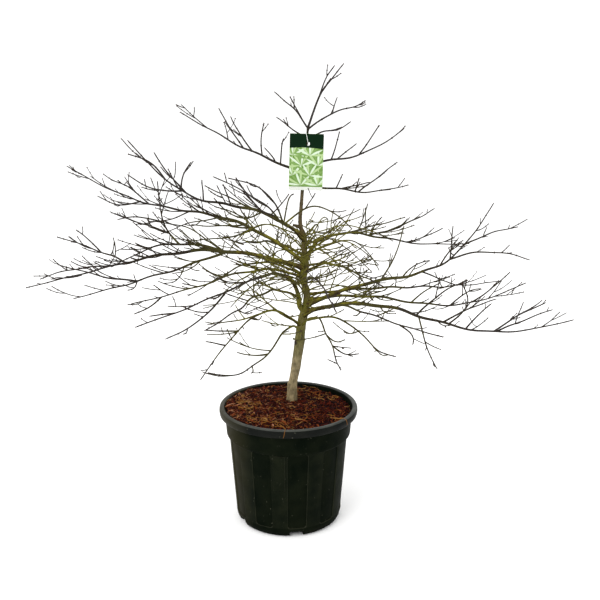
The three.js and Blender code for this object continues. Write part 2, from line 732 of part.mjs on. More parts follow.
place('pot', potSolid(), potPlastic);
place('soil', soilSolid(), barkMulch);
place('trunk', trunkSolid(), paleBark);
const label = place('label', labelSolid(), labelCard);
label.position.set(LABEL_PLACE.x, LABEL.y, LABEL_PLACE.z);
label.rotation.y = radians(LABEL.tilt);
place('label_tie', tieSolid(), tiePlastic);

/** Points all over the label, so that no twig grows through it. */
function labelPoints() {
  const step = 9;
  const points = [];
  for (let x = -LABEL.width / 2; x <= LABEL.width / 2; x += step) {
    for (let z = -LABEL.height / 2; z <= LABEL.height / 2; z += step) {
      const at = vector(LABEL_PLACE.x + x, LABEL.y, LABEL_PLACE.z + z);
      points.push({ at, radius: step / 2, owner: 'label' });
    }
  }
  return points;
}

const taken = labelPoints();
for (const stem of [trunkLine, sideLine]) {
  probes(stem, 0, 1).forEach((point) => taken.push({ ...point, owner: 'trunk' }));
}
for (const limb of limbs.values()) {
  const bough = limb.wood > 0 ? probes(limb, 0, limb.wood) : [];
  bough.forEach((point) => taken.push({ ...point, owner: `bough_${limb.name}` }));
  probes(limb, limb.wood, 1).forEach((point) => taken.push({ ...point, owner: limb.mass }));
}
for (const limb of limbs.values()) {
  if (limb.wood > 0) place(`bough_${limb.name}`, boughSolid(limb), oliveBark);
}
LIMBS.forEach(([name], index) => {
  const members = [...limbs.values()].filter((limb) => limb.mass === name);
  const random = seeded(FIRST_SEED + SEED_STEP * index);
  const twigs = growMass(members, random, taken);
  place(`twigs_${name}`, massSolid(members, twigs), twigBark);
});

export default plant;
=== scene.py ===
"""A bare laceleaf garden tree in a nursery pot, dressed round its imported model.

Sizes are in millimetres, as in the part's source, and turn into metres as each mesh is made.
Limbs and twigs follow the source's tables and seeded rule, carried on to finer twigs and buds.
"""
import math

import bpy
import numpy as np
from mathutils import Matrix, Vector, noise
from mathutils.geometry import tessellate_polygon


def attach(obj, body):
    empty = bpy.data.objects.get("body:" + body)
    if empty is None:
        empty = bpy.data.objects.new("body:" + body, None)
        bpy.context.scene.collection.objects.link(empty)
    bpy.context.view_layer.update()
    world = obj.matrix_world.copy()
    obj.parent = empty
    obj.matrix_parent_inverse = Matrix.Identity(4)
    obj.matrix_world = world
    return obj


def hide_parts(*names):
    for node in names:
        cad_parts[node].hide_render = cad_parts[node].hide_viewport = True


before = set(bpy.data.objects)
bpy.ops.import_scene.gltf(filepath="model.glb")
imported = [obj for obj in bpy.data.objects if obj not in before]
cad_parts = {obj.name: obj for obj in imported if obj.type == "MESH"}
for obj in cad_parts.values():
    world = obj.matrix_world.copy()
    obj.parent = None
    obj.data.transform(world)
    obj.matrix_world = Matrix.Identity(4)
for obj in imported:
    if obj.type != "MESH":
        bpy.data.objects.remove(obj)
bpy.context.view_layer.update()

# ---------- driving sizes, as in the source ----------

MM = 0.001

POT = {
    "height": 309,
    "rim_radius": 180,
    "rim_height": 22,
    "collar_radius": 165,
    "shoulder_radius": 161.5,
    "shoulder_height": 236,
    "shoulder_step": 4,
    "wall_top_radius": 155,
    "foot_radius": 128,
    "foot_round": 9,
    "foot_rise": 12,
    "wall": 3.2,
    "floor": 3.5,
    "mouth_radius": 166,
    "lip": 2.5,
}
# Angles are in degrees round the pot from its front; the holder is a raised tab on a strip.
PANELS = {"count": 10, "first_strip": -8.5, "strip": 16, "bottom": 25, "top": 232, "depth": 2.3,
          "edge": 0.45, "middle_radius": 146, "corner": 7, "soft": 0.5}
HOLDER = {"bottom": 134, "top": 230, "width": 30, "thickness": 2.2, "corner": 2, "soft": 0.35}
NOTCHES = {"count": 5, "first": 9.5, "half_turn": 7.7, "height": 11, "inner_radius": 112,
           "inside": 3, "bends_below": 24, "soft": 0.3}
SOIL = {"top": 300, "flat_radius": 78, "mid_radius": 130, "mid_drop": 0.5,
        "edge_radius": 161, "edge_drop": 3}

# Trunk rows from just under its flat foot up: height, lean to the right, radius, and how far
# the stem stands forward.
TRUNK_SETBACK = 40
TRUNK_ROWS = [
    [285, 8.5, 15.5, 0],
    [300, 8.8, 13.8, 0],
    [326, 9, 13.3, 0],
    [348, 10.2, 12.4, 0],
    [366, 13.4, 11.8, 0],
    [395, 18.8, 12.4, 0],
    [441, 25.4, 13.0, 0],
    [468, 28.8, 13.6, 0],
    [495, 31.4, 12.2, 0],
    [531, 37, 11.2, 0],
    [573, 46.5, 9.0, 0],
    [605, 46, 9.0, 0],
    [632, 38, 9.4, 0],
    [668, 43, 9.6, 0],
    [697, 41.2, 7.6, 0],
    [736, 41, 7.0, 0],
    [752, 38.5, 6.3, 0],
    [767, 32, 5.5, 0],
    [790, 30.3, 4.9, 0],
    [824, 33.3, 4.4, 0],
    [927, 41, 3.9, 0],
    [985, 47, 3.0, 0],
    [1018, 50, 2.6, 0],
]

# The side stem that forks from the trunk and climbs beside it, with the same sizes.
SIDE_ROWS = [
    [545, 39, 7.4, 0],
    [564, 29, 6.8, 7],
    [592, 26, 6.2, 11],
    [619, 18, 4.6, 15],
]

# Pruned stubs left on the trunk: height, bearing, length, radius.
STUBS = [
    [470, 182, 18, 2.6],
    [468, 5, 15.5, 3.0],
    [768, 178, 20, 4.2],
]

# Limbs that leave the trunk: name, foot height on the trunk, bearing (0 right, 90 back),
# reach and rise of the tip, then the arch, curl and sway of its line, radius at its foot,
# and the share of its length that is a bough before its mass of twigs begins.
LIMBS = [
    ("left_main", 662, 189, 685, -25, 60, 10, 0, 6.5, 0.26),
    ("left_green", 677, 165, 655, 225, 0, 25, -40, 5.4, 0.18),
    ("left_upper", 744, 207, 440, 250, -30, 25, -20, 5.2, 0.22),
    ("left_hub", 731, 244, 335, 192, -8, 10, -5, 4.0, 0.26),
    ("top_left", 903, 174, 305, 145, -10, 0, 0, 3.4, 0),
    ("top_right", 921, 352, 240, 90, -20, 5, -5, 3.0, 0),
    ("label_right", 869, 20, 290, -8, -15, 5, 22, 2.8, 0),
    ("leader", 1014, 347, 85, 148, 25, 5, 5, 2.6, 0),
    ("crown_right", 1009, 325, 160, 70, 10, 5, 15, 2.0, 0),
    ("crown_left", 1012, 148, 95, 84, 5, 0, -5, 2.0, 0),
    ("label_top_left", 986, 165, 75, 50, 0, 0, 0, 1.9, 0),
    ("label_top_right", 976, 25, 120, 48, 5, 5, -5, 1.9, 0),
    ("right_main", 564, 10, 495, 250, -25, 25, -125, 6.0, 0.28),
    ("right_low", 546, 339, 660, 45, 5, 30, -40, 6.2, 0.25),
    ("right_mid", 579, 359, 555, 45, -25, 20, -15, 4.2, 0.25),
    ("right_back", 593, 28, 645, -35, 5, 5, -20, 3.8, 0.22),
    ("right_upper", 715, 21, 480, -22, 10, 15, 95, 4.6, 0.28),
    ("low_left", 508, 232, 370, -40, 95, 0, 15, 3.6, 0.25),
    ("low_front_left", 492, 241, 420, 15, 15, 30, 40, 2.9, 0),
    ("droop_left", 638, 210, 455, -10, 45, 10, 50, 3.6, 0.2),
    ("droop_front_left", 617, 232, 530, 15, 70, 10, 85, 3.8, 0.2),
    ("back_left_low", 644, 142, 420, -120, 55, 10, 10, 3.4, 0.25),
    ("front_left", 587, 248, 495, 50, 35, 10, -5, 3.4, 0.2),
    ("low_right", 520, 308, 345, -5, 10, 20, 40, 2.8, 0),
    ("low_front_right", 507, 283, 380, 10, 40, 20, 15, 2.5, 0),
    ("right_droop", 533, 307, 490, 65, 45, 10, -30, 3.4, 0.25),
    ("back_right", 665, 61, 445, -120, 20, 5, 15, 3.6, 0.22),
    ("back_left", 693, 120, 470, -30, 15, 10, 10, 3.6, 0.22),
    ("back_mid", 706, 79, 490, -55, 5, 0, 30, 3.4, 0.22),
    ("front_mid", 623, 277, 505, 60, 40, -5, -10, 3.4, 0.22),
    ("front_right", 652, 296, 380, 45, 30, 5, 0, 3.0, 0.25),
]

# The limbs that leave the side stem in place of the trunk, and the one that climbs a way up
# along the trunk, with the height that its foot is below where it would leave.
ON_SIDE_STEM = ("droop_front_left", "front_left")
CLIMBS = {"right_upper": 45}
CLIMB = {"share": 0.12, "thicken": 0.02}

# Main shoots inside the masses: name, what it grows on, place along that (0 foot, 1 tip),
# bearing, reach, rise, arch, sway, radius at its foot.
SHOOTS = [
    ("left_hump", "left_main", 0.29, 182, 285, -35, 40, 10, 3.6),
    ("left_riser", "left_hump", 0.4, 130, 95, 145, -20, 15, 2.5),
    ("left_riser_a", "left_riser", 0.3, 157, 165, 40, 0, 0, 1.9),
    ("left_riser_b", "left_riser", 0.48, 200, 110, 15, 10, 0, 1.8),
    ("left_rise", "left_main", 0.65, 164, 185, 55, -10, -40, 2.2),
    ("left_rise_tip", "left_rise", 0.48, 159, 75, 55, 5, 0, 1.7),
    ("left_main_tip", "left_main", 0.71, 175, 175, -35, 10, 5, 1.8),
    ("left_front", "left_main", 0.29, 201, 375, -85, -5, 0, 3.2),
    ("left_front_rise", "left_front", 0.6, 203, 180, 55, 0, 30, 2.2),
    ("green_a", "left_green", 0.67, 211, 100, 70, 10, -5, 1.9),
    ("green_b", "left_green", 0.71, 206, 110, 20, -15, -5, 1.9),
    ("green_c", "left_green", 0.26, 204, 140, 10, -5, -5, 2.0),
    ("green_d", "left_green", 0.21, 154, 120, 55, 5, -25, 1.8),
    ("upper_a", "left_upper", 0.81, 216, 85, 60, 10, 15, 1.9),
    ("upper_b", "left_upper", 0.69, 213, 75, 95, 5, -25, 1.8),
    ("upper_c", "left_upper", 0.71, 178, 125, 35, -15, 0, 1.9),
    ("upper_d", "left_upper", 0.72, 310, 45, 65, 5, -5, 1.7),
    ("upper_e", "left_upper", 0.59, 271, 25, 50, 0, 0, 1.7),
    ("upper_f", "left_upper", 0.29, 154, 140, 50, -5, -10, 2.0),
    ("upper_g", "left_upper", 0.43, 234, 25, 50, 0, 0, 1.7),
    ("upper_h", "left_upper", 0.25, 209, 125, 40, -30, -5, 1.8),
    ("hub_a", "left_hub", 0.32, 211, 140, 115, 25, 45, 1.9),
    ("hub_b", "left_hub", 0.36, 211, 170, 115, 5, 55, 1.8),
    ("hub_c", "left_hub", 0.31, 305, 40, 75, 20, 0, 1.6),
    ("hub_arch", "left_hub", 0.3, 332, 175, 5, 45, 5, 2.0),
    ("top_left_a", "top_left", 0.49, 213, 65, 95, 0, -5, 1.7),
    ("top_left_b", "top_left", 0.42, 141, 70, 80, 5, 10, 1.8),
    ("top_left_c", "top_left", 0.34, 281, 40, 85, 0, -5, 1.6),
    ("top_left_d", "top_left", 0.19, 68, 25, 60, 20, 0, 1.6),
    ("top_left_e", "top_left", 0.23, 216, 30, 35, 0, 5, 1.6),
    ("top_right_a", "top_right", 0.28, 340, 20, 65, -5, 0, 1.6),
    ("top_right_b", "top_right", 0.56, 330, 55, 75, -5, -5, 1.6),
    ("top_right_c", "top_right", 0.34, 5, 45, 35, 0, 0, 1.5),
    ("label_right_a", "label_right", 0.34, 316, 20, 35, 0, 0, 1.6),
    ("label_right_b", "label_right", 0.39, 35, 90, 10, 0, 0, 1.7),
    ("label_right_c", "label_right", 0.52, 301, 20, 40, 0, 0, 1.7),
    ("label_right_d", "label_right", 0.55, 27, 115, 70, 0, 0, 1.8),
    ("leader_b", "leader", 0.26, 313, 55, 80, 10, 0, 1.5),
    ("crown_left_b", "crown_left", 0.2, 200, 30, 52, 0, 0, 1.5),
    ("right_out", "right_main", 0.7, 351, 190, 5, 20, 0, 2.2),
    ("right_rear", "right_main", 0.79, 23, 160, 35, 5, 5, 1.9),
    ("right_main_a", "right_main", 0.64, 32, 70, 55, 10, 0, 1.7),
    ("right_main_b", "right_main", 0.7, 74, 35, 75, -5, 0, 1.7),
    ("right_main_c", "right_main", 0.34, 46, 85, 120, -10, -5, 1.9),
    ("right_main_d", "right_main", 0.44, 26, 75, 35, 5, 10, 1.7),
    ("right_main_e", "right_main", 0.54, 24, 105, -45, 0, 0, 1.8),
    ("low_tip_a", "right_low", 0.74, 326, 115, 85, 5, 0, 1.9),
    ("low_tip_b", "right_low", 0.75, 18, 145, 40, 5, -5, 1.8),
    ("low_rise_a", "right_low", 0.56, 25, 150, 40, 5, 0, 2.1),
    ("low_rise_b", "right_low", 0.64, 323, 60, 70, 5, 5, 1.8),
    ("low_rise_c", "right_low", 0.58, 289, 55, 110, -5, 30, 1.8),
    ("low_rise_d", "right_low", 0.46, 20, 135, 75, 10, 5, 2.2),
    ("low_hang", "right_low", 0.47, 303, 70, -110, -15, 0, 1.8),
    ("mid_a", "right_mid", 0.66, 25, 90, 35, 10, 0, 1.8),
    ("mid_b", "right_mid", 0.48, 331, 75, 60, 5, 0, 1.8),
    ("mid_c", "right_mid", 0.76, 332, 90, 85, -5, 0, 1.8),
    ("upper_fan_a", "right_upper", 0.46, 23, 205, 60, -10, -5, 2.2),
    ("upper_fan_b", "right_upper", 0.45, 258, 30, 75, -10, 0, 1.7),
    ("upper_fan_c", "right_upper", 0.39, 306, 40, 80, -5, 0, 1.7),
    ("upper_fan_d", "right_upper", 0.69, 334, 100, 45, -5, 0, 1.8),
    ("upper_fan_e", "right_upper", 0.47, 40, 45, 45, 5, 0, 1.8),
    ("upper_fan_f", "right_upper", 0.34, 336, 150, 50, 0, 0, 1.8),
    ("low_left_a", "low_left", 0.7, 187, 75, 5, 0, 0, 1.8),
    ("low_left_b", "low_left", 0.8, 206, 45, 15, 0, 0, 1.7),
    ("low_left_c", "low_left", 0.47, 161, 140, -40, -5, 0, 1.9),
    ("low_front_a", "low_front_left", 0.55, 207, 75, 15, -5, 0, 1.7),
    ("droop_left_a", "droop_left", 0.86, 212, 65, -30, -5, 0, 1.7),
    ("droop_front_a", "droop_front_left", 0.86, 165, 55, -10, 0, 0, 1.7),
    ("droop_front_b", "droop_front_left", 0.64, 215, 145, -80, -10, 10, 2.0),
    ("low_front_right_a", "low_front_right", 0.55, 330, 45, -5, -10, 0, 1.6),
    ("low_front_right_b", "low_front_right", 0.67, 331, 65, -10, -10, 0, 1.6),
    ("right_droop_a", "right_droop", 0.77, 314, 40, -35, -5, 20, 1.7),
]

LIMB_TIP = 1.0
LIMB_TAPER = 1.4
RIPPLE = {"size": 2.2, "side_wave": 150, "rise_wave": 115, "phase": 1.7}

# The rule of the twigs: side twigs leave a stem left and right in turn, shorter towards its
# tip, and carry a second order of twigs of their own. Pairs are the least and the most.
TWIG = {
    "start": 0.12,
    "bare_tip": 8,
    "spacing": 69,
    "first_step": (0.3, 0.7),
    "step": (0.7, 1.3),
    "length": 112,
    "full_limb": 260,
    "size": (0.5, 1.3),
    "shorten": 0.45,
    "turn": (34, 64),
    "lift": (1.5, 31.5),
    "follow": 0.5,
    "sag": 0.1,
    "sway": 0.08,
    "radius": 1.35,
    "slimmer": 0.85,
    "tip": 0.8,
    "shortest": 26,
}
SECOND_ORDER = {"start": 0.3, "spacing": 44, "share": 0.5, "long_enough": 78}
FIRST_SEED = 20
SEED_STEP = 137
CLEARANCE = 2.2
PROBE_STEP = 7
UNFELT_FOOT = 0.12
SPACE_MARGIN = {"side": 14, "height": 34}
LOWEST_TWIG = 336
WOOD_ROOM = 200000

LABEL = {"width": 83, "height": 137, "thickness": 0.8, "x": 45.2, "y": 19, "z": 931.7, "tilt": 1.5,
         "corner": 3}
SLOT = {"width": 9, "height": 10, "from_top": 24, "right": 3, "corner": 3.5}
TIE = {"across": 5.2, "deep": 18, "rise": 26, "y": 34, "z": 989.8}

# ---------- sizes of the finer work ----------

# Finer twigs on the source's own, and short spurs along the limbs. The share is of the length
# of the twig that they grow on.
FINER = {"start": 0.2, "spacing": 46, "share": 0.8, "long_enough": 40, "shortest": 20,
         "radius": 0.85, "tip": 0.6}
SPUR = {"start": 0.1, "spacing": 90, "length": 32, "shortest": 10}
FINER_SEED = 71
# Masses whose finer twigs stand further apart, and that have no spurs.
OPENER = {"left_hub": 95, "left_upper": 85, "top_right": 60, "label_right": 60}

# Long thin shoots in the crown's heart: from the trunk all round, and along the boughs.
HEART = {"seed": 503, "shoots": 44, "golden_turn": 137.5, "heights": (545, 745),
         "reach": (110, 260), "rise": (-0.45, 0.2), "arch": (0.08, 0.3), "sway": (-0.2, 0.2),
         "girth": (1.3, 2.1), "foot": 20, "top": 805}
ON_BOUGHS = {"start": 0.02, "spacing": 44, "length": 135, "shortest": 35, "beyond": 40}
HEART_SIDE = {"start": 0.18, "spacing": 58, "share": 0.55, "shortest": 20}

# More long seeded shoots at the crown's left, along these limbs up to a share of their length.
LEFT_SHOOTS = {"seed": 611, "limbs": ("left_green", "left_main"), "start": 0.22, "spacing": 46,
               "length": 150, "shortest": 50, "end": 0.66}
# Placed shoots between those limbs: limb, place along it, heading, reach, rise, arch, girth.
PLACED_SHOOTS = [
    ("left_green", 0.22, 183, 210, -20, -14, 2.0),
    ("left_green", 0.37, 190, 150, -38, 6, 1.7),
    ("left_green", 0.50, 196, 140, -28, -8, 1.6),
    ("left_main", 0.30, 171, 190, 72, 22, 1.8),
    ("left_main", 0.40, 166, 120, 88, 12, 1.6),
    ("left_main", 0.22, 160, 130, 60, 10, 1.6),
]

# Twigs between the source's own, with finer ones on them, in the masses that look densest:
# how far apart they are, and how long near a limb's foot.
BETWEEN = {
    "left_main": (48, 112),
    "left_green": (46, 118),
    "right_mid": (90, 90),
    "droop_left": (80, 90),
}

# How much fuller than the source's three-sided twigs the round ones are.
FULLER = 0.45
BUD = {"length": 3.4, "radius": 0.95, "tip_length": 4.6, "seed": 77, "spread": 38,
       "tip_spread": 16, "tip_apart": 0.3, "foot_out": 0.7, "widest": 0.42, "sunk": 0.4,
       "across": (0.13, 0.05, 0.99)}
FINE_STEP = 8
# Sides and sideways kinks of stems, of side twigs and of the finest twigs.
STEM_TUBE, TWIG_TUBE, FINER_TUBE = (7, 0.5), (5, 0.6), (4, 0.5)

CAMERA = {"x": 30, "y": -2100, "z": 1128, "down": 14.41, "focus": 859}
PICTURE_SIZE = 600
SENSOR = 36

# ---------- sizes and colours of the dress ----------

# Relief layers are the size of the lumps, their grain, their stretch upwards and a shift.
TRUNK_MESH = {"step": 2.2, "sides": 56, "relief": ((0.75, 8, 2.6, 0), (0.3, 3.2, 4, 50)),
              "full_relief_at": 12, "relief_share": (0.35, 1.2)}
BOUGH_MESH = {"step": 2.5, "sides": 18, "relief": ((0.5, 6, 1, 0), (0.25, 2.4, 1, 90)),
              "full_relief_at": 5, "relief_share": (0.5, 1.2), "flare": 0.38, "flare_fade": 7}
BOUGH_RINGS = {"first": 14, "pitch": 31, "size": 0.5, "half_width": 2.2}
# The trunk's foot flares in lobes: size, how many round it, and where they start.
FLARE = {"height": 48, "lobes": ((1.6, 4, 0.6), (1.1, 7, 2))}
TRUNK_RINGS = {"count": 18, "first": 352, "pitch": 37, "waver": 6, "waver_turn": 2.3,
               "size": 0.45, "half_width": 2.4}
GRAFT = {"height": 350, "spread": 11, "size": 1.2, "bearing": 190, "even": 0.55, "uneven": 0.45}
# The swelling of a stem where a limb leaves it, as shares of the limb's girth.
COLLAR = {"around": 1.25, "up": 1.7, "size": 0.42}
STUB_MESH = {"rise": 0.25, "taper": 0.7, "rows": 16, "sides": 20, "swell": 0.5, "swell_fade": 9,
             "callus": 0.5, "callus_at": 0.93, "callus_half": 1.5, "relief": ((0.3, 3, 1, 0),),
             "cut": 0.72, "bowl": 0.4, "bowl_depth": 1.2, "depth": 1.5}
# The dark scar on the trunk's front: its place in metres, where it fades, and its colour.
KNOT_SCAR = {"place": (0.0180, 0.0320, 0.4655), "fade": (0.0040, 0.0080),
             "color": (0.022, 0.016, 0.010)}
TRUNK_MIDDLE = (35, 40)
STEM_LAP = 3
NODES = {"first": 13, "widen": 9, "spacing": 36, "bare_foot": 6, "half_width": 1.5,
         "swell": 0.28, "no_buds_above": 1.9, "clear": 2.4, "first_share": (0.5, 1.2),
         "gap_share": (0.75, 1.25), "kink": (0.3, 1)}
POT_MESH = {"outer_step": 6, "inner_step": 14, "turn_step": 1.5, "least_turn": 0.08,
            "row_offsets": (-2.5, -1, -0.4, 0, 0.4, 1, 2.5, 4.5),
            "turn_offsets": (-0.45, -0.15, 0.15, 0.45), "panel_insets": (1.2, 2.2)}
# The pot's plastic: dark tone, light tone, scuffs and specular level. The edge, lip and strip tones
# are lighter as painted highlights on the panels' edges, the rim's top band and the raised strips.
POT_TONES = {
    "wall": ((0.0016, 0.0030, 0.0015), (0.0046, 0.0062, 0.0030), (0.05, 0.05, 0.035), 0.010),
    "edge": ((0.0080, 0.0100, 0.0055), (0.0180, 0.0190, 0.0110), (0.06, 0.06, 0.045), 0.040),
    "rim": ((0.0014, 0.0022, 0.0018), (0.0058, 0.0064, 0.0050), (0.07, 0.07, 0.050), 0.05),
    "lip": ((0.0260, 0.0290, 0.0260), (0.0500, 0.0520, 0.0440), (0.12, 0.12, 0.100), 0.14),
    "strip": ((0.0026, 0.0042, 0.0022), (0.0075, 0.0092, 0.0046), (0.05, 0.05, 0.035), 0.015),
}
# Painted light on the pot's left side, where the key light falls: its colour, and where it comes
# in, in metres.
POT_LIT_SIDE = {"color": (0.026, 0.023, 0.010), "fade": (-0.09, -0.165)}
SOIL_DEPTH = 18
SOIL_TILT = 0.042
SOIL_MESH = {"columns": 132, "step": 2.4, "wall_gap": 0.6, "wall_top": 280, "foot_gap": 4}
# Lumps of the compost: grain, place in the noise and size; they are lower beyond a ring.
SOIL_LUMPS = ((19, 4.1, 3.2), (7, 8, 1.5))
SOIL_EDGE = {"ring": 155, "share": 0.3}
# Lengths and widths of the chips are the least, the most common and the most.
MULCH = {"seed": 11, "chips": 7000, "radius": 158, "reach": 164, "depth": 7.5,
         "paler_left": 1500, "long": (5, 11, 34), "wide": (0.9, 1.8, 5.5), "thick": (0.6, 1.7),
         "room": 1.6, "lift": (0.5, 1), "sunk": 0.6, "pitch": 0.2, "curve": 0.35}
# Rows of a chip: place along it and share of its width.
CHIP_ROWS = ((-0.5, 0.45), (-0.2, 1.0), (0.2, 0.9), (0.5, 0.35))
CHIP_RAGGED = {"lean": (-0.5, 0.5), "wide": (0.75, 1.25), "thick": (0.7, 1.3)}
# Ink depths are shares of "ink"; the fans' feet, lean and blades vary by their row and column.
PRINT = {"margin": 0.3, "ink": 0.3, "band": 36, "strip": 8, "rows": 4, "columns": 2,
         "blades": 9, "spread": 21, "blade": 44, "blade_width": 5.6, "lap": 4, "sunk": 0.05,
         "lowest": 0.2, "strip_depth": 1.4, "band_depth": 1.6, "band_steps": 16,
         "band_wave": 3.0, "foot_shifts": (0.7, 0.2), "foot_rise": 0.15, "lean": 24,
         "uneven": 0.2}
LEAF = {"steps": 6, "point": 1.25}
STRIP = {"width": 1.2, "thickness": 0.5, "steps": 64}
STRIP_SECTION = ((-1, -1), (-0.8, -1.3), (0.8, -1.3), (1, -1), (1, 1), (-1, 1))

# Bark colours of stems and twigs, and how far from the trunk each of them reaches.
BARK_REACHES = (150, 300, 450)
OLIVE_TOP = 770
BARK_CLIMB = 2.5
BARK_SHIFT = (-55, 55)
BARKS = [
    ("bark_olive", (0.100, 0.092, 0.015)),
    ("bark_dark_olive", (0.046, 0.041, 0.013)),
    ("bark_brown", (0.026, 0.021, 0.014)),
    ("bark_grey", (0.030, 0.025, 0.022)),
]

# Shreds of bark from dark to light: name, colour and share of all.
SHREDS = [
    ("shred_purple", (0.010, 0.0024, 0.0030), 31),
    ("shred_maroon", (0.026, 0.0038, 0.0024), 28),
    ("shred_red", (0.075, 0.0105, 0.0040), 22),
    ("shred_orange", (0.150, 0.0360, 0.0090), 12),
    ("shred_tan", (0.270, 0.1200, 0.0620), 5),
]
FIBRES = [
    ("fibre_ochre", (0.22, 0.090, 0.018)),
    ("fibre_rust", (0.11, 0.028, 0.008)),
    ("fibre_straw", (0.30, 0.155, 0.045)),
]
# Loose fibres and the fibres of tufts: how high they start, how long and how thick they are,
# and how much thinner their ends are.
LOOSE = {"count": 190, "radius": 150, "above": (2, 6), "long": (14, 30, 70),
         "girth": (0.35, 0.9), "ends": 0.5}
TUFT = {"flat": 0.7, "above": (5, 9), "long": (20, 48), "girth": (0.6, 1.1), "ends": 0.4,
        "straw": 0.4}
CURL = {"points": 12, "bend": 0.35, "waver": 0.2, "rise": 0.25, "edge": 160, "above": 2,
        "highest": 7}
FIBRE_SIDES = 5
FIBRE_REFERENCE = (0.05, 0.03, 1)
# Tufts of curly fibres on the mulch: place, count and spread.
TUFTS = [(-92, -12, 12, 15), (-58, -96, 13, 17), (-24, -130, 6, 12), (-120, 40, 7, 18),
         (122, -72, 7, 9), (90, 60, 8, 24), (20, -90, 5, 14)]

# Fibres over the rim: degrees from the pot's front, turn on the way down, drop, radius.
RIM_FIBRES = [
    (-1.0, -2.5, 6, 0.5),
    (52.0, 3.0, 4, 0.5),
]
# Their course: distance from the pot's middle, height, and how many thirds of the drop are past.
RIM_COURSE = [(150, 297, 0), (160, 303, 0), (167, 310.6, 0), (174, 311.2, 0), (180.5, 308.5, 0),
              (182, 303, 0), (182, 300, 1), (181.2, 298, 2), (180, 297, 3)]
RIM_SIDES = 6
RIM_REFERENCE = (1, 0.02, 0.03)

INKS = [
    ("ink_dark_green", (0.003, 0.013, 0.005)),
    ("ink_leaf_green", (0.16, 0.27, 0.08)),
    ("ink_pale_green", (0.34, 0.46, 0.22)),
    ("ink_lime_white", (0.50, 0.60, 0.45)),
    ("ink_white", (0.56, 0.58, 0.53)),
]

FLOOR = {"radius": 60, "corners": 96, "below": 0.0004}
LIGHT = {
    "world": 1.2,
    "aim": (0, 0, 0.55),
    "softboxes": [
        ("key", (-2.4, -2.8, 3.2), 4.0, 125),
        ("fill", (2.8, -2.0, 2.2), 2.6, 15),
        ("back", (0.6, 3.2, 3.0), 2.4, 15),
    ],
}

# ---------- meshes ----------


def smoothstep(value, low, high):
    share = np.clip((value - low) / (high - low), 0, 1)
    return share * share * (3 - 2 * share)


# How far a tube's point stands out, as a share of its radius there.
TUBE_POINT = 1.2


class Pile:
    """Many small shapes, in millimetres, that become one mesh."""

    def __init__(self):
        self.points = []
        self.faces = []
        self.paints = []
        self.count = 0

    def add(self, points, faces, paint=0):
        """Adds points and faces; paint is one material's place or a list, one a face."""
        self.points.append(np.asarray(points, float).reshape(-1, 3))
        self.faces += [tuple(int(i) + self.count for i in face) for face in faces]
        self.paints += [paint] * len(faces) if isinstance(paint, int) else list(paint)
        self.count += len(self.points[-1])

    def tube(self, centres, radii, sides, reference, paint=0):
        """A tube along a line of centres, with a pointed end."""
        centres = np.asarray(centres, float)
        rings, faces = ring_grid(centres, radii, sides, reference)
        last = len(centres) - 1
        ahead = centres[-1] - centres[-2]
        ahead /= np.linalg.norm(ahead)
        tip = centres[-1] + ahead * radii[-1] * TUBE_POINT
        cap = fan(last * sides, sides, len(rings))
        if not isinstance(paint, int):
            along = [place for place in paint for _ in range(sides)]
            paint = along + [paint[-1]] * sides
        self.add(np.vstack([rings, tip]), faces + cap, paint)

    def build(self, name, materials, smooth=True):
        mesh = bpy.data.meshes.new(name)
        points = np.vstack(self.points) * MM
        mesh.from_pydata(points.tolist(), [], self.faces)
        for material in materials:
            mesh.materials.append(material)
        mesh.polygons.foreach_set("material_index", self.paints)
        mesh.polygons.foreach_set("use_smooth", [smooth] * len(self.faces))
        mesh.update()
        piece = bpy.data.objects.new(name, mesh)
        bpy.context.scene.collection.objects.link(piece)
        return piece


def ring_grid(centres, radii, sides, reference):
    """Rings of points round a line of centres, and the faces between them."""
    ahead = np.gradient(centres, axis=0)
    ahead /= np.linalg.norm(ahead, axis=1, keepdims=True)
    across = np.cross(reference, ahead)
    across /= np.linalg.norm(across, axis=1, keepdims=True)
    over = np.cross(across, ahead)
    turn = around(sides)
    radii = np.asarray(radii, float).reshape(len(centres), -1, 1)
    points = (centres[:, None] + radii * (np.cos(turn)[None, :, None] * across[:, None]
                                          + np.sin(turn)[None, :, None] * over[:, None]))
    return points.reshape(-1, 3), grid_faces(len(centres), sides)


def grid_faces(rows, columns):
    """Faces between rows of points that close round on themselves."""
    faces = []
    for row in range(rows - 1):
        for column in range(columns):
            after = (column + 1) % columns
            low, high = row * columns, (row + 1) * columns
            faces.append((low + column, high + column, high + after, low + after))
    return faces


def fan(first, count, middle, inward=False):
    """Triangles from a ring of points, which starts at the first, to one point in its middle."""
    pairs = [(first + i, first + (i + 1) % count) for i in range(count)]
    return [(q, p, middle) if inward else (p, q, middle) for p, q in pairs]


def around(count):
    """Even angles all round."""
    return np.arange(count) * 2 * np.pi / count


def finish_piece(piece, nodes=()):
    """Says what the piece rides on and which nodes it stands for, and hides those nodes."""
    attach(piece, "root")
    if nodes:
        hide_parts(*nodes)
    return piece


# ---------- lines of the trunk, limbs and twigs ----------


def seeded(seed):
    """A seeded series of numbers from 0 to 1."""
    state = seed

    def draw():
        nonlocal state
        state = state * 16807 % 2147483647
        return state / 2147483647

    return draw


def between(random, pair):
    return pair[0] + (pair[1] - pair[0]) * random()


def row_at(rows, share):
    """A row of sizes between given rows, by a smooth curve through them."""
    place = share * (len(rows) - 1)
    i = min(max(math.floor(place), 0), len(rows) - 2)
    t = place - i
    before = np.array(rows[max(i - 1, 0)], float)
    p, q = np.array(rows[i], float), np.array(rows[i + 1], float)
    after = np.array(rows[min(i + 2, len(rows) - 1)], float)
    m, n = (q - before) / 2, (after - p) / 2
    return p + m * t + (3 * (q - p) - 2 * m - n) * t**2 + (2 * (p - q) + m + n) * t**3


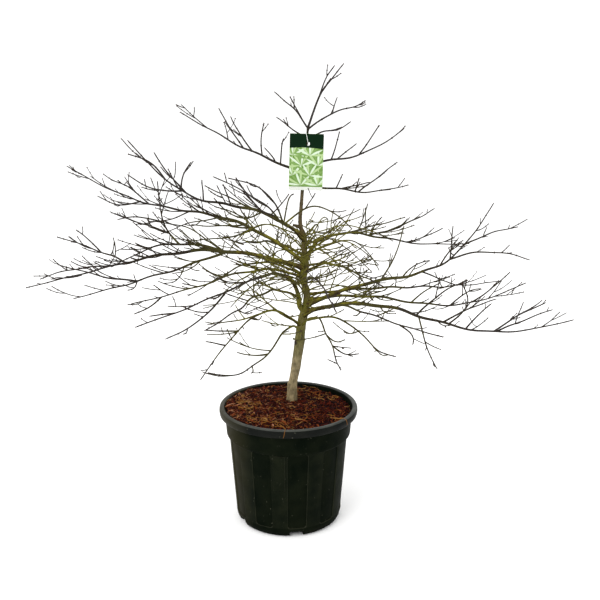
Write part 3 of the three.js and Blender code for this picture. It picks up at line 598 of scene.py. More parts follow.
def close_rows(rows, step):
    """An upright stem's rows at close, even steps."""
    count = math.ceil((rows[-1][0] - rows[0][0]) / step)
    return np.array([row_at(rows, i / count) for i in range(count + 1)])


def stem_row(rows, height):
    """The sizes of an upright stem at a height."""
    low, high = 0, 1
    for _ in range(30):
        middle = (low + high) / 2
        if row_at(rows, middle)[0] < height:
            low = middle
        else:
            high = middle
    return row_at(rows, low)


def stem_point(rows, height):
    """The middle of an upright stem at a height."""
    height, lean, _, forward = stem_row(rows, height)
    return np.array([lean, TRUNK_SETBACK - forward, height])


class Line:
    """A limb or twig: straight to its tip, with an arch, a curl and a sway laid over that."""

    def __init__(self, foot, bearing, reach, rise, girth, tip, **bends):
        angle = math.radians(bearing)
        self.foot = np.asarray(foot, float)
        self.out = np.array([math.cos(angle), math.sin(angle), 0])
        self.side = np.array([-self.out[1], self.out[0], 0])
        self.reach = reach
        self.rise = rise
        self.girth = girth
        self.tip = tip
        self.length = math.hypot(reach, rise)
        self.arch = bends.get("arch", 0)
        self.curl = bends.get("curl", 0)
        self.sway = bends.get("sway", 0)
        self.ripple = bends.get("ripple", 0)
        self.phase = bends.get("phase", 0)
        self.climb = bends.get("climb", 0)
        self.reference = self.side if abs(rise) > 1.5 * reach else np.array([0, 0, 1.0])
        self.wood = 0
        self.stem_rows = None

    def points(self, share):
        t = np.atleast_1d(np.asarray(share, float))[:, None]
        hump = np.sin(np.pi * t)
        wave = self.ripple * hump
        gone = 2 * np.pi * t * self.length
        up = (self.rise * t + self.arch * hump + self.curl * np.sin(2 * np.pi * t)
              - self.climb * np.maximum(1 - t / CLIMB["share"], 0)**2
              + wave * np.sin(gone / RIPPLE["rise_wave"] + 2 * self.phase))
        across = self.sway * hump + wave * np.sin(gone / RIPPLE["side_wave"] + self.phase)
        return (self.foot + self.out * self.reach * t + self.side * across
                + np.array([0, 0, 1]) * up)

    def radii(self, share):
        t = np.atleast_1d(np.asarray(share, float))
        thicker = CLIMB["thicken"] * self.climb * np.maximum(1 - t / CLIMB["share"], 0)**2
        return self.tip + (self.girth - self.tip) * np.maximum(1 - t, 0)**LIMB_TAPER + thicker

    def tangent(self, share):
        ahead = self.points(share + 0.004)[0] - self.points(share - 0.004)[0]
        return ahead / np.linalg.norm(ahead)


def lay_limbs():
    """The limbs and shoots by name, each knowing the mass that it belongs to."""
    limbs = {}
    for name, height, bearing, reach, rise, arch, curl, sway, girth, wood in LIMBS:
        stem_rows = SIDE_ROWS if name in ON_SIDE_STEM else TRUNK_ROWS
        line = Line(stem_point(stem_rows, height), bearing, reach, rise, girth, LIMB_TIP,
                    arch=arch, curl=curl, sway=sway, climb=CLIMBS.get(name, 0),
                    ripple=RIPPLE["size"], phase=RIPPLE["phase"] * len(limbs))
        line.mass = name
        line.wood = wood
        line.stem_rows = stem_rows
        limbs[name] = line
    for name, on, at, bearing, reach, rise, arch, sway, girth in SHOOTS:
        parent = limbs[on]
        line = Line(parent.points(at)[0], bearing, reach, rise, girth, LIMB_TIP,
                    arch=arch, sway=sway, ripple=RIPPLE["size"] * min(reach / 200, 1),
                    phase=RIPPLE["phase"] * len(limbs))
        line.mass = parent.mass
        limbs[name] = line
    return limbs


# ---------- the rule of the twigs ----------


class Wood:
    """Points of all wood so far, so that twigs of one mass keep off the wood of others."""

    def __init__(self):
        self.points = np.zeros((WOOD_ROOM, 3))
        self.radii = np.zeros(WOOD_ROOM)
        self.owners = np.zeros(WOOD_ROOM, int)
        self.count = 0
        self.names = {}

    def owner(self, name):
        return self.names.setdefault(name, len(self.names))

    def add(self, points, radii, owner):
        end = self.count + len(points)
        self.points[self.count:end] = points
        self.radii[self.count:end] = radii
        self.owners[self.count:end] = self.owner(owner)
        self.count = end

    def touches(self, points, radii, owner):
        placed = self.points[:self.count]
        reach = float(radii.max()) + CLEARANCE + 25
        near = np.all((placed > points.min(0) - reach) & (placed < points.max(0) + reach), 1)
        near &= self.owners[:self.count] != self.owner(owner)
        if not near.any():
            return False
        gap = np.linalg.norm(points[:, None] - placed[near][None], axis=2)
        room = radii[:, None] + self.radii[:self.count][near][None] + CLEARANCE
        return bool((gap < room).any())


def probes(line, start, end):
    """Points and radii along a line, close enough together to feel for other wood."""
    count = max(math.ceil(line.length * (end - start) / PROBE_STEP), 2)
    share = start + (end - start) * np.arange(count + 1) / count
    return line.points(share), line.radii(share)


def sprout(stem, random, start, spacing, length, shortest):
    """Side twigs along a stem, by the seeded rule."""
    twigs = []
    side = -1 if random() < 0.5 else 1
    along = start * stem.length + spacing * between(random, TWIG["first_step"])
    while along < stem.length - TWIG["bare_tip"]:
        t = along / stem.length
        ahead = stem.tangent(t)
        slope = math.degrees(math.asin(ahead[2]))
        heading = math.degrees(math.atan2(ahead[1], ahead[0]))
        turn = between(random, TWIG["turn"])
        lift = TWIG["follow"] * slope + between(random, TWIG["lift"])
        long = length * (1 - TWIG["shorten"] * t) * between(random, TWIG["size"])
        bow = random()
        if long > shortest:
            girth = min(TWIG["radius"], TWIG["slimmer"] * float(stem.radii(t)[0]))
            rise = math.radians(lift)
            twigs.append(Line(stem.points(t)[0], heading + side * turn, long * math.cos(rise),
                              long * math.sin(rise), girth, TWIG["tip"],
                              arch=-long * TWIG["sag"] * bow,
                              sway=side * long * TWIG["sway"] * (bow - 0.3)))
        side = -side
        along += spacing * between(random, TWIG["step"])
    return twigs


class Mass:
    """The limbs and twigs of one mass, which keep to its room and off other wood."""

    def __init__(self, members, wood):
        self.members = members
        self.owner = members[0].mass
        self.wood = wood
        points = np.vstack([probes(limb, limb.wood, 1)[0] for limb in members])
        margin = np.array([SPACE_MARGIN["side"], SPACE_MARGIN["side"], SPACE_MARGIN["height"]])
        self.low, self.high = points.min(0) - margin, points.max(0) + margin
        self.low[2] = max(self.low[2], LOWEST_TWIG)
        self.twigs = []
        self.finer = []

    def keep(self, twig, kept):
        points, radii = probes(twig, UNFELT_FOOT, 1)
        inside = np.all((points >= self.low) & (points <= self.high))
        if not inside or self.wood.touches(points, radii, self.owner):
            return False
        self.wood.add(points, radii, self.owner)
        kept.append(twig)
        return True

    def grow(self, random):
        """The twigs of the source, which leaves out what would touch other wood."""
        for limb in self.members:
            length = TWIG["length"] * min(limb.length / TWIG["full_limb"], 1)
            start = max(limb.wood, TWIG["start"])
            for twig in sprout(limb, random, start, TWIG["spacing"], length, TWIG["shortest"]):
                children = []
                if twig.length > SECOND_ORDER["long_enough"]:
                    share, gap = SECOND_ORDER["share"], SECOND_ORDER["spacing"]
                    children = sprout(twig, random, SECOND_ORDER["start"], gap,
                                      twig.length * share, TWIG["shortest"])
                if self.keep(twig, self.twigs):
                    for child in children:
                        self.keep(child, self.twigs)

    def refine(self, random):
        """Twigs between the source's own, finer twigs on both, and short spurs on the limbs."""
        if self.owner in BETWEEN:
            spacing, length = BETWEEN[self.owner]
            for limb in self.members:
                for twig in sprout(limb, random, max(limb.wood, TWIG["start"]), spacing,
                                   length * min(limb.length / TWIG["full_limb"], 1),
                                   TWIG["shortest"]):
                    self.keep(twig, self.twigs)
        gap = OPENER.get(self.owner, FINER["spacing"])
        for twig in self.twigs:
            if twig.length > FINER["long_enough"]:
                for child in sprout(twig, random, FINER["start"], gap,
                                    twig.length * FINER["share"], FINER["shortest"]):
                    self.keep(child, self.finer)
        if self.owner in OPENER:
            return
        for limb in self.members:
            start = max(limb.wood, SPUR["start"])
            for spur in sprout(limb, random, start, SPUR["spacing"], SPUR["length"],
                               SPUR["shortest"]):
                self.keep(spur, self.finer)


def grow_tree():
    """The limbs by name, the twigs as in the source, and the finer twigs on them."""
    limbs = lay_limbs()
    wood = Wood()
    wood.add(*label_points(), "label")
    for stem_rows in (TRUNK_ROWS, SIDE_ROWS):
        rows = close_rows(stem_rows, PROBE_STEP)
        middle = np.column_stack([rows[:, 1], TRUNK_SETBACK - rows[:, 3], rows[:, 0]])
        wood.add(middle, rows[:, 2], "trunk")
    for name, limb in limbs.items():
        if limb.wood > 0:
            wood.add(*probes(limb, 0, limb.wood), "bough_" + name)
        wood.add(*probes(limb, limb.wood, 1), limb.mass)
    masses = [Mass([limb for limb in limbs.values() if limb.mass == row[0]], wood)
              for row in LIMBS]
    for index, mass in enumerate(masses):
        mass.grow(seeded(FIRST_SEED + SEED_STEP * index))
    heart = grow_heart(limbs, wood)
    for index, mass in enumerate(masses):
        mass.refine(seeded(FINER_SEED + SEED_STEP * index))
    twigs = [twig for mass in masses for twig in mass.twigs] + heart
    finer = [twig for mass in masses for twig in mass.finer]
    return limbs, twigs, finer


def heart_shoots(limbs, random):
    """Shoots from the trunk all round it, and from the boughs before their masses begin."""
    shoots = []
    for index in range(HEART["shoots"]):
        foot = stem_point(TRUNK_ROWS, between(random, HEART["heights"]))
        reach = between(random, HEART["reach"])
        shoots.append(Line(foot, index * HEART["golden_turn"], reach,
                           reach * between(random, HEART["rise"]), between(random, HEART["girth"]),
                           TWIG["tip"], arch=reach * between(random, HEART["arch"]),
                           sway=reach * between(random, HEART["sway"]),
                           ripple=RIPPLE["size"], phase=index))
    for limb in limbs.values():
        if limb.wood > 0:
            end = limb.wood * limb.length + ON_BOUGHS["beyond"]
            for twig in sprout(limb, random, ON_BOUGHS["start"], ON_BOUGHS["spacing"],
                               ON_BOUGHS["length"], ON_BOUGHS["shortest"]):
                if np.linalg.norm(twig.foot - limb.foot) < end:
                    shoots.append(twig)
    return shoots


def grow_heart(limbs, wood):
    """The crown's heart, with side twigs of two orders, which keeps off all other wood."""
    random = seeded(HEART["seed"])
    kept = []

    def keep(twig, unfelt):
        points, radii = probes(twig, unfelt, 1)
        heights = points[:, 2]
        inside = heights.min() > LOWEST_TWIG and heights.max() < HEART["top"]
        if not inside or wood.touches(points, radii, "heart"):
            return False
        wood.add(points, radii, "heart")
        kept.append(twig)
        return True

    def side_twigs(twig):
        return sprout(twig, random, HEART_SIDE["start"], HEART_SIDE["spacing"],
                      twig.length * HEART_SIDE["share"], HEART_SIDE["shortest"])

    for shoot in heart_shoots(limbs, random):
        if keep(shoot, max(UNFELT_FOOT, min(HEART["foot"] / shoot.length, 0.5))):
            for child in side_twigs(shoot):
                if keep(child, UNFELT_FOOT):
                    for grandchild in side_twigs(child):
                        keep(grandchild, UNFELT_FOOT)
    random = seeded(LEFT_SHOOTS["seed"])
    for name, along, heading, reach, rise, arch, girth in PLACED_SHOOTS:
        shoot = Line(limbs[name].points(along)[0], heading, reach, rise, girth, TWIG["tip"],
                     arch=arch, ripple=RIPPLE["size"], phase=heading)
        if keep(shoot, UNFELT_FOOT):
            for child in side_twigs(shoot):
                keep(child, UNFELT_FOOT)
    for name in LEFT_SHOOTS["limbs"]:
        for shoot in sprout(limbs[name], random, LEFT_SHOOTS["start"], LEFT_SHOOTS["spacing"],
                            LEFT_SHOOTS["length"], LEFT_SHOOTS["shortest"]):
            along = np.linalg.norm(shoot.foot - limbs[name].foot) / limbs[name].length
            if along < LEFT_SHOOTS["end"] and keep(shoot, UNFELT_FOOT):
                for child in side_twigs(shoot):
                    keep(child, UNFELT_FOOT)
    return kept


def label_points():
    """Points all over the label, so that no twig grows through it."""
    step = 9
    across = np.arange(-LABEL["width"] / 2, LABEL["width"] / 2 + 1, step)
    up = np.arange(-LABEL["height"] / 2, LABEL["height"] / 2 + 1, step)
    grid = [(LABEL["x"] + x, LABEL["y"], LABEL["z"] + z) for x in across for z in up]
    return np.array(grid), np.full(len(grid), step / 2)


# ---------- materials ----------

# Places of the colour sockets on a Mix node.
MIX_COLORS = (6, 7)
MIX_RESULT = 2


class Finish:
    """A node material with one main shader, built up by short calls."""

    def __init__(self, name, color, roughness, specular):
        self.material = bpy.data.materials.new(name)
        self.material.use_nodes = True
        self.tree = self.material.node_tree
        self.shader = self.tree.nodes["Principled BSDF"]
        self.shader.inputs["Base Color"].default_value = (*color, 1)
        self.shader.inputs["Roughness"].default_value = roughness
        self.shader.inputs["Specular IOR Level"].default_value = specular
        self.material.diffuse_color = (*color, 1)
        self.place = self.tree.nodes.new("ShaderNodeTexCoord").outputs["Object"]

    def node(self, kind, settings=None, **inputs):
        made = self.tree.nodes.new(kind)
        for key, value in (settings or {}).items():
            setattr(made, key, value)
        for key, value in inputs.items():
            self.join(value, made.inputs[key.replace("_", " ")])
        return made

    def join(self, value, socket):
        if isinstance(value, bpy.types.NodeSocket):
            self.tree.links.new(value, socket)
        elif isinstance(value, tuple) and len(value) == 3 and len(socket.default_value) == 4:
            socket.default_value = (*value, 1)
        else:
            socket.default_value = value

    def stretched(self, scale):
        """The object's own coordinates in metres, scaled along each axis."""
        return self.node("ShaderNodeMapping", Vector=self.place, Scale=scale).outputs[0]

    def noise(self, scale, detail=3, vector=None):
        where = self.place if vector is None else vector
        return self.node("ShaderNodeTexNoise", Vector=where, Scale=scale,
                         Detail=detail).outputs["Fac"]

    def cells(self, scale, vector=None):
        where = self.place if vector is None else vector
        return self.node("ShaderNodeTexVoronoi", Vector=where, Scale=scale).outputs["Distance"]

    def height(self):
        return self.node("ShaderNodeSeparateXYZ", Vector=self.place).outputs["Z"]

    def ramp(self, value, stops):
        """A colour or a share by value: stops are (value, colour or share)."""
        made = self.node("ShaderNodeValToRGB", Fac=value)
        elements = made.color_ramp.elements
        while len(elements) < len(stops):
            elements.new(0.5)
        for element, (at, color) in zip(elements, stops):
            element.position = at
            element.color = (*color, 1) if isinstance(color, tuple) else (color, color, color, 1)
        return made.outputs["Color"]

    def blend(self, share, first, second):
        made = self.node("ShaderNodeMix", {"data_type": "RGBA"})
        self.join(share, made.inputs["Factor"])
        self.join(first, made.inputs[MIX_COLORS[0]])
        self.join(second, made.inputs[MIX_COLORS[1]])
        return made.outputs[MIX_RESULT]

    def fit(self, value, low, high, new_low=0.0, new_high=1.0):
        made = self.node("ShaderNodeMapRange", Value=value)
        made.inputs["From Min"].default_value = low
        made.inputs["From Max"].default_value = high
        made.inputs["To Min"].default_value = new_low
        made.inputs["To Max"].default_value = new_high
        return made.outputs[0]

    def times(self, first, second):
        made = self.node("ShaderNodeMath", {"operation": "MULTIPLY"})
        self.join(first, made.inputs[0])
        self.join(second, made.inputs[1])
        return made.outputs[0]

    def color(self, value):
        self.tree.links.new(value, self.shader.inputs["Base Color"])

    def roughness(self, value):
        self.tree.links.new(value, self.shader.inputs["Roughness"])

    def bump(self, height, distance, strength=1.0):
        made = self.node("ShaderNodeBump", Height=height, Strength=strength, Distance=distance)
        self.tree.links.new(made.outputs[0], self.shader.inputs["Normal"])


def trunk_finish():
    """Pale grey-tan at the foot, brown above, with olive dust where the boughs leave."""
    bark = Finish("trunk_bark", (0.26, 0.21, 0.12), 0.8, 0.08)
    climb = bark.fit(bark.height(), 0.29, 1.02)
    base = bark.ramp(climb, [
        (0.0, (0.21, 0.165, 0.085)),
        (0.07, (0.25, 0.198, 0.108)),
        (0.17, (0.225, 0.185, 0.104)),
        (0.25, (0.115, 0.103, 0.044)),
        (0.33, (0.13, 0.11, 0.045)),
        (0.42, (0.085, 0.072, 0.022)),
        (0.55, (0.075, 0.062, 0.020)),
        (0.66, (0.085, 0.062, 0.030)),
        (0.85, (0.085, 0.068, 0.040)),
        (1.0, (0.03, 0.024, 0.018)),
    ])
    mottle = bark.fit(bark.noise(70, 5), 0.3, 0.7, 0.5, 1.3)
    light = bark.node("ShaderNodeHueSaturation", Color=base, Value=mottle).outputs[0]
    patch = bark.fit(bark.noise(26, 4), 0.42, 0.6)
    zone = bark.ramp(climb, [(0.14, 0.0), (0.3, 0.5), (0.42, 1.0), (0.58, 0.9), (0.65, 0.0)])
    olive = bark.blend(bark.times(patch, zone), light, (0.12, 0.112, 0.014))
    fibre = bark.noise(1, 4, bark.stretched((420, 420, 60)))
    pits = bark.fit(bark.cells(1, bark.stretched((260, 260, 150))), 0.0, 0.25)
    dark = bark.fit(fibre, 0.3, 0.52, 0.55, 1.0)
    fine = bark.node("ShaderNodeHueSaturation", Color=olive, Value=dark).outputs[0]
    away = bark.node("ShaderNodeVectorMath", {"operation": "DISTANCE"})
    bark.join(bark.place, away.inputs[0])
    away.inputs[1].default_value = KNOT_SCAR["place"]
    scar = bark.fit(away.outputs["Value"], *KNOT_SCAR["fade"], 1.0, 0.0)
    bark.color(bark.blend(scar, fine, KNOT_SCAR["color"]))
    bark.bump(bark.times(fibre, pits), 0.0016, 0.8)
    return bark.material


def bough_finish():
    """Olive dust over dark brown bark, thickest on the boughs' upper sides, where it also stands
    for painted light on their tops; the undersides are darkened as painted shade.
    """
    bark = Finish("bough_bark", (0.09, 0.082, 0.02), 0.85, 0.05)
    up = bark.node("ShaderNodeSeparateXYZ",
                   Vector=bark.node("ShaderNodeNewGeometry").outputs["Normal"]).outputs["Z"]
    # the upper sides take more pale olive: real dust, and painted light on the tops
    top = bark.fit(up, -0.6, 0.5, 0.3, 1.0)
    patch = bark.fit(bark.noise(55, 5), 0.34, 0.6)
    bark_color = bark.blend(bark.noise(140, 3), (0.040, 0.026, 0.010), (0.085, 0.062, 0.022))
    olive = bark.blend(bark.noise(90, 3), (0.120, 0.112, 0.011), (0.215, 0.195, 0.026))
    tinted = bark.blend(bark.times(patch, top), bark_color, olive)
    # painted shade: the undersides are darker
    painted_underside_shade = bark.fit(up, -0.7, 0.4, 0.4, 1.0)
    bark.color(bark.node("ShaderNodeHueSaturation", Color=tinted, Value=painted_underside_shade).outputs[0])
    bark.bump(bark.noise(420, 4), 0.0012, 0.8)
    return bark.material


def plain_bark(name, color):
    """Bark of one plain colour that keeps a fine grain."""
    bark = Finish(name, color, 0.75, 0.05)
    bark.roughness(bark.fit(bark.noise(300, 2), 0.3, 0.7, 0.6, 0.9))
    bark.bump(bark.noise(900, 2), 0.0004, 0.5)
    return bark.material


def pot_finish(name, dark, light, scuff, specular):
    """Moulded black-green plastic, cloudy between a dark and a light tone, with small scuffs, and a
    painted light tint over its left side.
    """
    plastic = Finish(name, dark, 0.5, specular)
    cloud = plastic.blend(plastic.fit(plastic.noise(22, 5), 0.35, 0.68), dark, light)
    across = plastic.node("ShaderNodeSeparateXYZ", Vector=plastic.place).outputs["X"]
    # painted light: the pot's left side is tinted lighter, where the key light falls
    lit_side_share = plastic.fit(across, *POT_LIT_SIDE["fade"], 0.0, 0.8)
    tinted = plastic.blend(lit_side_share, cloud, POT_LIT_SIDE["color"])
    specks = plastic.fit(plastic.noise(170, 2), 0.72, 0.75)
    plastic.color(plastic.blend(specks, tinted, scuff))
    plastic.roughness(plastic.fit(plastic.noise(24, 5), 0.3, 0.7, 0.40, 0.60))
    grain = plastic.noise(1, 3, plastic.stretched((900, 900, 500)))
    plastic.bump(grain, 0.0003, 0.35)
    return plastic.material


def earth_finish():
    """Dark damp compost, mottled in two browns."""
    earth = Finish("bark_compost", (0.03, 0.009, 0.005), 0.95, 0.05)
    earth.color(earth.blend(earth.noise(160, 5), (0.010, 0.003, 0.002), (0.06, 0.016, 0.006)))
    earth.bump(earth.noise(300, 5), 0.004)
    return earth.material


def shred_finish(name, color):
    """Shredded bark of one plain colour with a fibrous grain."""
    shred = Finish(name, color, 0.8, 0.04)
    shred.roughness(shred.fit(shred.noise(200, 2), 0.3, 0.7, 0.6, 0.95))
    shred.bump(shred.noise(1, 3, shred.stretched((1500, 400, 1500))), 0.0006, 0.6)
    return shred.material


def print_finish(name, color):
    """Printed card of one plain colour under a light gloss."""
    card = Finish(name, color, 0.35, 0.02)
    card.roughness(card.fit(card.noise(60, 2), 0.3, 0.7, 0.28, 0.42))
    card.bump(card.noise(80, 2), 0.0003, 0.3)
    return card.material


def floor_finish():
    """A white floor that is hardly mottled."""
    floor = Finish("pale_floor", (0.99, 0.99, 0.985), 0.9, 0.1)
    floor.color(floor.blend(floor.noise(3, 2), (0.985, 0.985, 0.98), (0.995, 0.995, 0.99)))
    return floor.material


# ---------- trunk and boughs ----------


def relief_of(points, layers):
    """Relief at each point, from layers of smooth noise with lumps as long as their grain."""
    relief = 0
    for size, grain, stretch, shift in layers:
        scaled = (points + shift) / (grain, grain, grain * stretch)
        relief = relief + size * np.array([noise.noise(Vector(p)) for p in scaled])
    return relief


def foot_relief(rows, turn):
    """The flare at the trunk's foot, the swelling of the graft and the rings of old nodes."""
    height = rows[:, 0][:, None]
    flare = np.clip(1 - (height - TRUNK_ROWS[0][0]) / FLARE["height"], 0, 1)
    relief = flare * sum(size * np.cos(lobes * turn + first)
                         for size, lobes, first in FLARE["lobes"])
    graft = np.exp(-((height - GRAFT["height"]) / GRAFT["spread"]) ** 2)
    graft = np.where(height > GRAFT["height"], graft**3, graft)
    facing = np.cos(turn - math.radians(GRAFT["bearing"]))
    relief += GRAFT["size"] * graft * (GRAFT["even"] + GRAFT["uneven"] * facing)
    ring = TRUNK_RINGS
    for knot in range(ring["count"]):
        waver = ring["waver"] * math.sin(ring["waver_turn"] * knot)
        middle = ring["first"] + ring["pitch"] * knot + waver
        relief += ring["size"] * np.exp(-((height - middle) / ring["half_width"]) ** 2)
    return relief


def stem_radii(rows, turn, limbs):
    """An upright stem's radius at each height and turn, with swellings where limbs leave."""
    height, base = rows[:, 0][:, None], rows[:, 2][:, None]
    radius = np.repeat(base, len(turn), axis=1)
    for limb in limbs:
        off = np.angle(np.exp(1j * (turn - math.atan2(limb.out[1], limb.out[0]))))
        up = height - limb.points(0)[0][2]
        near = np.exp(-(off * base / (COLLAR["around"] * limb.girth)) ** 2
                      - (up / (COLLAR["up"] * limb.girth)) ** 2)
        radius += COLLAR["size"] * limb.girth * near
    skin = np.stack([base * np.cos(turn), base * np.sin(turn), height + 0 * turn], axis=2)
    relief = relief_of(skin.reshape(-1, 3), TRUNK_MESH["relief"]).reshape(radius.shape)
    share = np.clip(base / TRUNK_MESH["full_relief_at"], *TRUNK_MESH["relief_share"])
    return radius + relief * share


def add_stem(pile, rows, turn, radius):
    """A closed skin of level rings round an upright stem."""
    points = np.stack([rows[:, 1][:, None] + radius * np.cos(turn),
                       TRUNK_SETBACK - rows[:, 3][:, None] + radius * np.sin(turn),
                       rows[:, 0][:, None] + 0 * radius], axis=2).reshape(-1, 3)
    faces = [face[::-1] for face in grid_faces(len(rows), len(turn))]
    top = len(points) - len(turn)
    ends = [(row[1], TRUNK_SETBACK - row[3], row[0] + rise)
            for row, rise in ((rows[0], 0), (rows[-1], 1))]
    faces += fan(0, len(turn), len(points), inward=True)
    faces += fan(top, len(turn), len(points) + 1)
    pile.add(np.vstack([points, ends]), faces)


def build_trunk(limbs):
    """The trunk, the side stem that forks from it and its pruned stubs, with bark relief."""
    pile = Pile()
    turn = around(TRUNK_MESH["sides"])
    for stem_rows in (TRUNK_ROWS, SIDE_ROWS):
        rows = close_rows(stem_rows, TRUNK_MESH["step"])
        leaving = [limb for limb in limbs.values() if limb.stem_rows is stem_rows]
        radius = stem_radii(rows, turn, leaving)
        if stem_rows is TRUNK_ROWS:
            radius = radius + foot_relief(rows, turn)
        add_stem(pile, rows, turn, radius)
    for height, bearing, length, girth in STUBS:
        add_stub(pile, stem_point(TRUNK_ROWS, height), bearing, length, girth)
    cut_wood = plain_bark("cut_wood", (0.02, 0.015, 0.012))
    return pile.build("trunk_bark", [trunk_finish(), cut_wood])


def add_stub(pile, foot, bearing, length, girth):
    """A pruned stub: a swollen foot, a ring of callus and a hollow dark cut."""
    mesh, sides = STUB_MESH, STUB_MESH["sides"]
    line = Line(foot, bearing, length, mesh["rise"] * length, girth, mesh["taper"] * girth)
    along = np.linspace(0, 1, mesh["rows"])
    centres = line.points(along)
    radii = line.radii(along) * (1 + mesh["swell"] * np.exp(-along * length / mesh["swell_fade"]))
    from_callus = (along - mesh["callus_at"]) * length / mesh["callus_half"]
    radii = radii + mesh["callus"] * np.exp(-from_callus ** 2)
    points, faces = ring_grid(centres, radii, sides, line.reference)
    relief = relief_of(points, mesh["relief"])[:, None]
    points += relief * (points - np.repeat(centres, sides, 0)) / girth
    end, ahead = centres[-1], line.tangent(0.97)
    across = points[-sides:] - end
    cut = np.vstack([points, end + across * mesh["cut"],
                     end + across * mesh["bowl"] - ahead * mesh["bowl_depth"],
                     end - ahead * mesh["depth"]])
    bark_faces, start = len(faces), len(points) - sides
    faces += [tuple(start + i for i in face) for face in grid_faces(3, sides)]
    faces += fan(start + 2 * sides, sides, len(cut) - 1, inward=True)
    pile.add(cut, faces, [0] * bark_faces + [1] * (len(faces) - bark_faces))


def build_boughs(limbs):
    """Each bough with a flared foot, rings at old nodes and a rough bark."""
    pile = Pile()
    for name, limb in limbs.items():
        if limb.wood == 0:
            continue
        end = limb.wood * limb.length
        along = np.arange(0, end + BOUGH_MESH["step"] / 2, BOUGH_MESH["step"])
        along = np.append(along[along < end - 1], end)
        share = along / limb.length
        centres = limb.points(share)
        radii = limb.radii(share)
        trunk_radius = stem_row(limb.stem_rows, centres[0][2])[2]
        past = np.maximum(along - trunk_radius, 0)
        radii = radii * (1 + BOUGH_MESH["flare"] * np.exp(-past / BOUGH_MESH["flare_fade"]))
        ring = BOUGH_RINGS
        for knot in np.arange(trunk_radius + ring["first"], end, ring["pitch"]):
            radii = radii + ring["size"] * np.exp(-((along - knot) / ring["half_width"]) ** 2)
        sides = BOUGH_MESH["sides"]
        points, faces = ring_grid(centres, radii, sides, limb.reference)
        middle = np.repeat(centres, sides, 0)
        away = (points - middle) / np.linalg.norm(points - middle, axis=1, keepdims=True)
        relief = relief_of(points, BOUGH_MESH["relief"])
        share = np.clip(radii / BOUGH_MESH["full_relief_at"], *BOUGH_MESH["relief_share"])
        points += away * relief[:, None] * np.repeat(share, sides)[:, None]
        faces += fan(0, sides, len(points), inward=True)
        faces += fan(len(points) - sides, sides, len(points) + 1)
        pile.add(np.vstack([points, centres[0], centres[-1] + limb.tangent(limb.wood)]), faces)
    return pile.build("bough_bark", [bough_finish()])


# ---------- twigs ----------


def node_places(length, random):
    """Distances of the nodes along a twig, closer together towards its tip."""
    places = []
    left = length - NODES["first"] * between(random, NODES["first_share"])
    gap = NODES["first"]
    while left > NODES["bare_foot"]:
        places.append(left)
        gap = min(gap + NODES["widen"], NODES["spacing"])
        left -= gap * between(random, NODES["gap_share"])
    return places[::-1]


def bark_paint(points, shift):
    """The place of the bark's colour in the list: olive by the trunk, darker away from it."""
    level = np.hypot(points[:, 0] - TRUNK_MIDDLE[0], points[:, 1] - TRUNK_MIDDLE[1])
    above = np.maximum(points[:, 2] - OLIVE_TOP, 0)
    away = level + BARK_CLIMB * above + shift
    return [int(place) for place in np.searchsorted(BARK_REACHES, away)]


def add_twig(pile, buds, line, start, tube, random):
    """One stem or twig with swollen nodes and slight turns at them, and its buds."""
    sides, rough = tube
    length = line.length * (1 - start)
    nodes = node_places(length, random)
    count = max(round(length / FINE_STEP), 2)
    along = list(np.arange(count + 1) * length / count)
    for node in nodes:
        along = [s for s in along if abs(s - node) > NODES["clear"] or s in (0, length)]
        along += [node - NODES["half_width"], node, node + NODES["half_width"]]
    along = np.array(sorted(s for s in along if 0 <= s <= length))
    share = start + (1 - start) * along / length
    centres = line.points(share)
    radii = line.radii(share) + FULLER
    kinks = [rough * (-1) ** i * between(random, NODES["kink"]) for i in range(len(nodes))]
    stops = np.array([0] + nodes + [length])
    side = np.cross([0, 0, 1.0], line.tangent(0.5))
    side /= np.linalg.norm(side)
    centres = centres + np.interp(along, stops, [0, *kinks, 0])[:, None] * side
    swell = np.zeros(len(along))
    for node in nodes:
        swell = np.maximum(swell, np.clip(1 - np.abs(along - node) / NODES["half_width"], 0, 1))
    radii = radii + NODES["swell"] * swell
    paint = bark_paint((centres[1:] + centres[:-1]) / 2, between(random, BARK_SHIFT))
    pile.tube(centres, radii, sides, line.reference, paint)
    turn = random() * np.pi
    for node in nodes:
        turn += np.pi / 2
        place = np.array([np.interp(node, along, centres[:, k]) for k in range(3)])
        at = start + (1 - start) * node / length
        radius = float(line.radii(at)[0])
        if radius < NODES["no_buds_above"]:
            add_bud_pair(buds, place, line.tangent(at), radius, turn, BUD["length"],
                         BUD["spread"])
    add_bud_pair(buds, centres[-1], line.tangent(1.0), BUD["tip_apart"], turn,
                 BUD["tip_length"], BUD["tip_spread"])


def add_bud_pair(buds, place, ahead, radius, turn, length, spread):
    """Two buds opposite each other, leaning away from the twig by the spread in degrees."""
    across = np.cross(ahead, BUD["across"])
    across /= np.linalg.norm(across)
    over = np.cross(ahead, across)
    away = math.cos(turn) * across + math.sin(turn) * over
    lean = math.radians(spread)
    for side in (-1, 1):
        out = side * away
        way = math.cos(lean) * ahead + math.sin(lean) * out
        beside = np.cross(way, out)
        beside /= np.linalg.norm(beside)
        third = np.cross(way, beside)
        foot = place + out * radius * BUD["foot_out"]
        wide = BUD["radius"] * length / BUD["length"]
        middle = foot + way * length * BUD["widest"]
        ring = [middle + beside * wide, middle + third * wide, middle - beside * wide,
                middle - third * wide]
        points = [foot - way * BUD["sunk"], *ring, foot + way * length]
        buds.add(points, fan(1, 4, 0, inward=True) + fan(1, 4, 5))


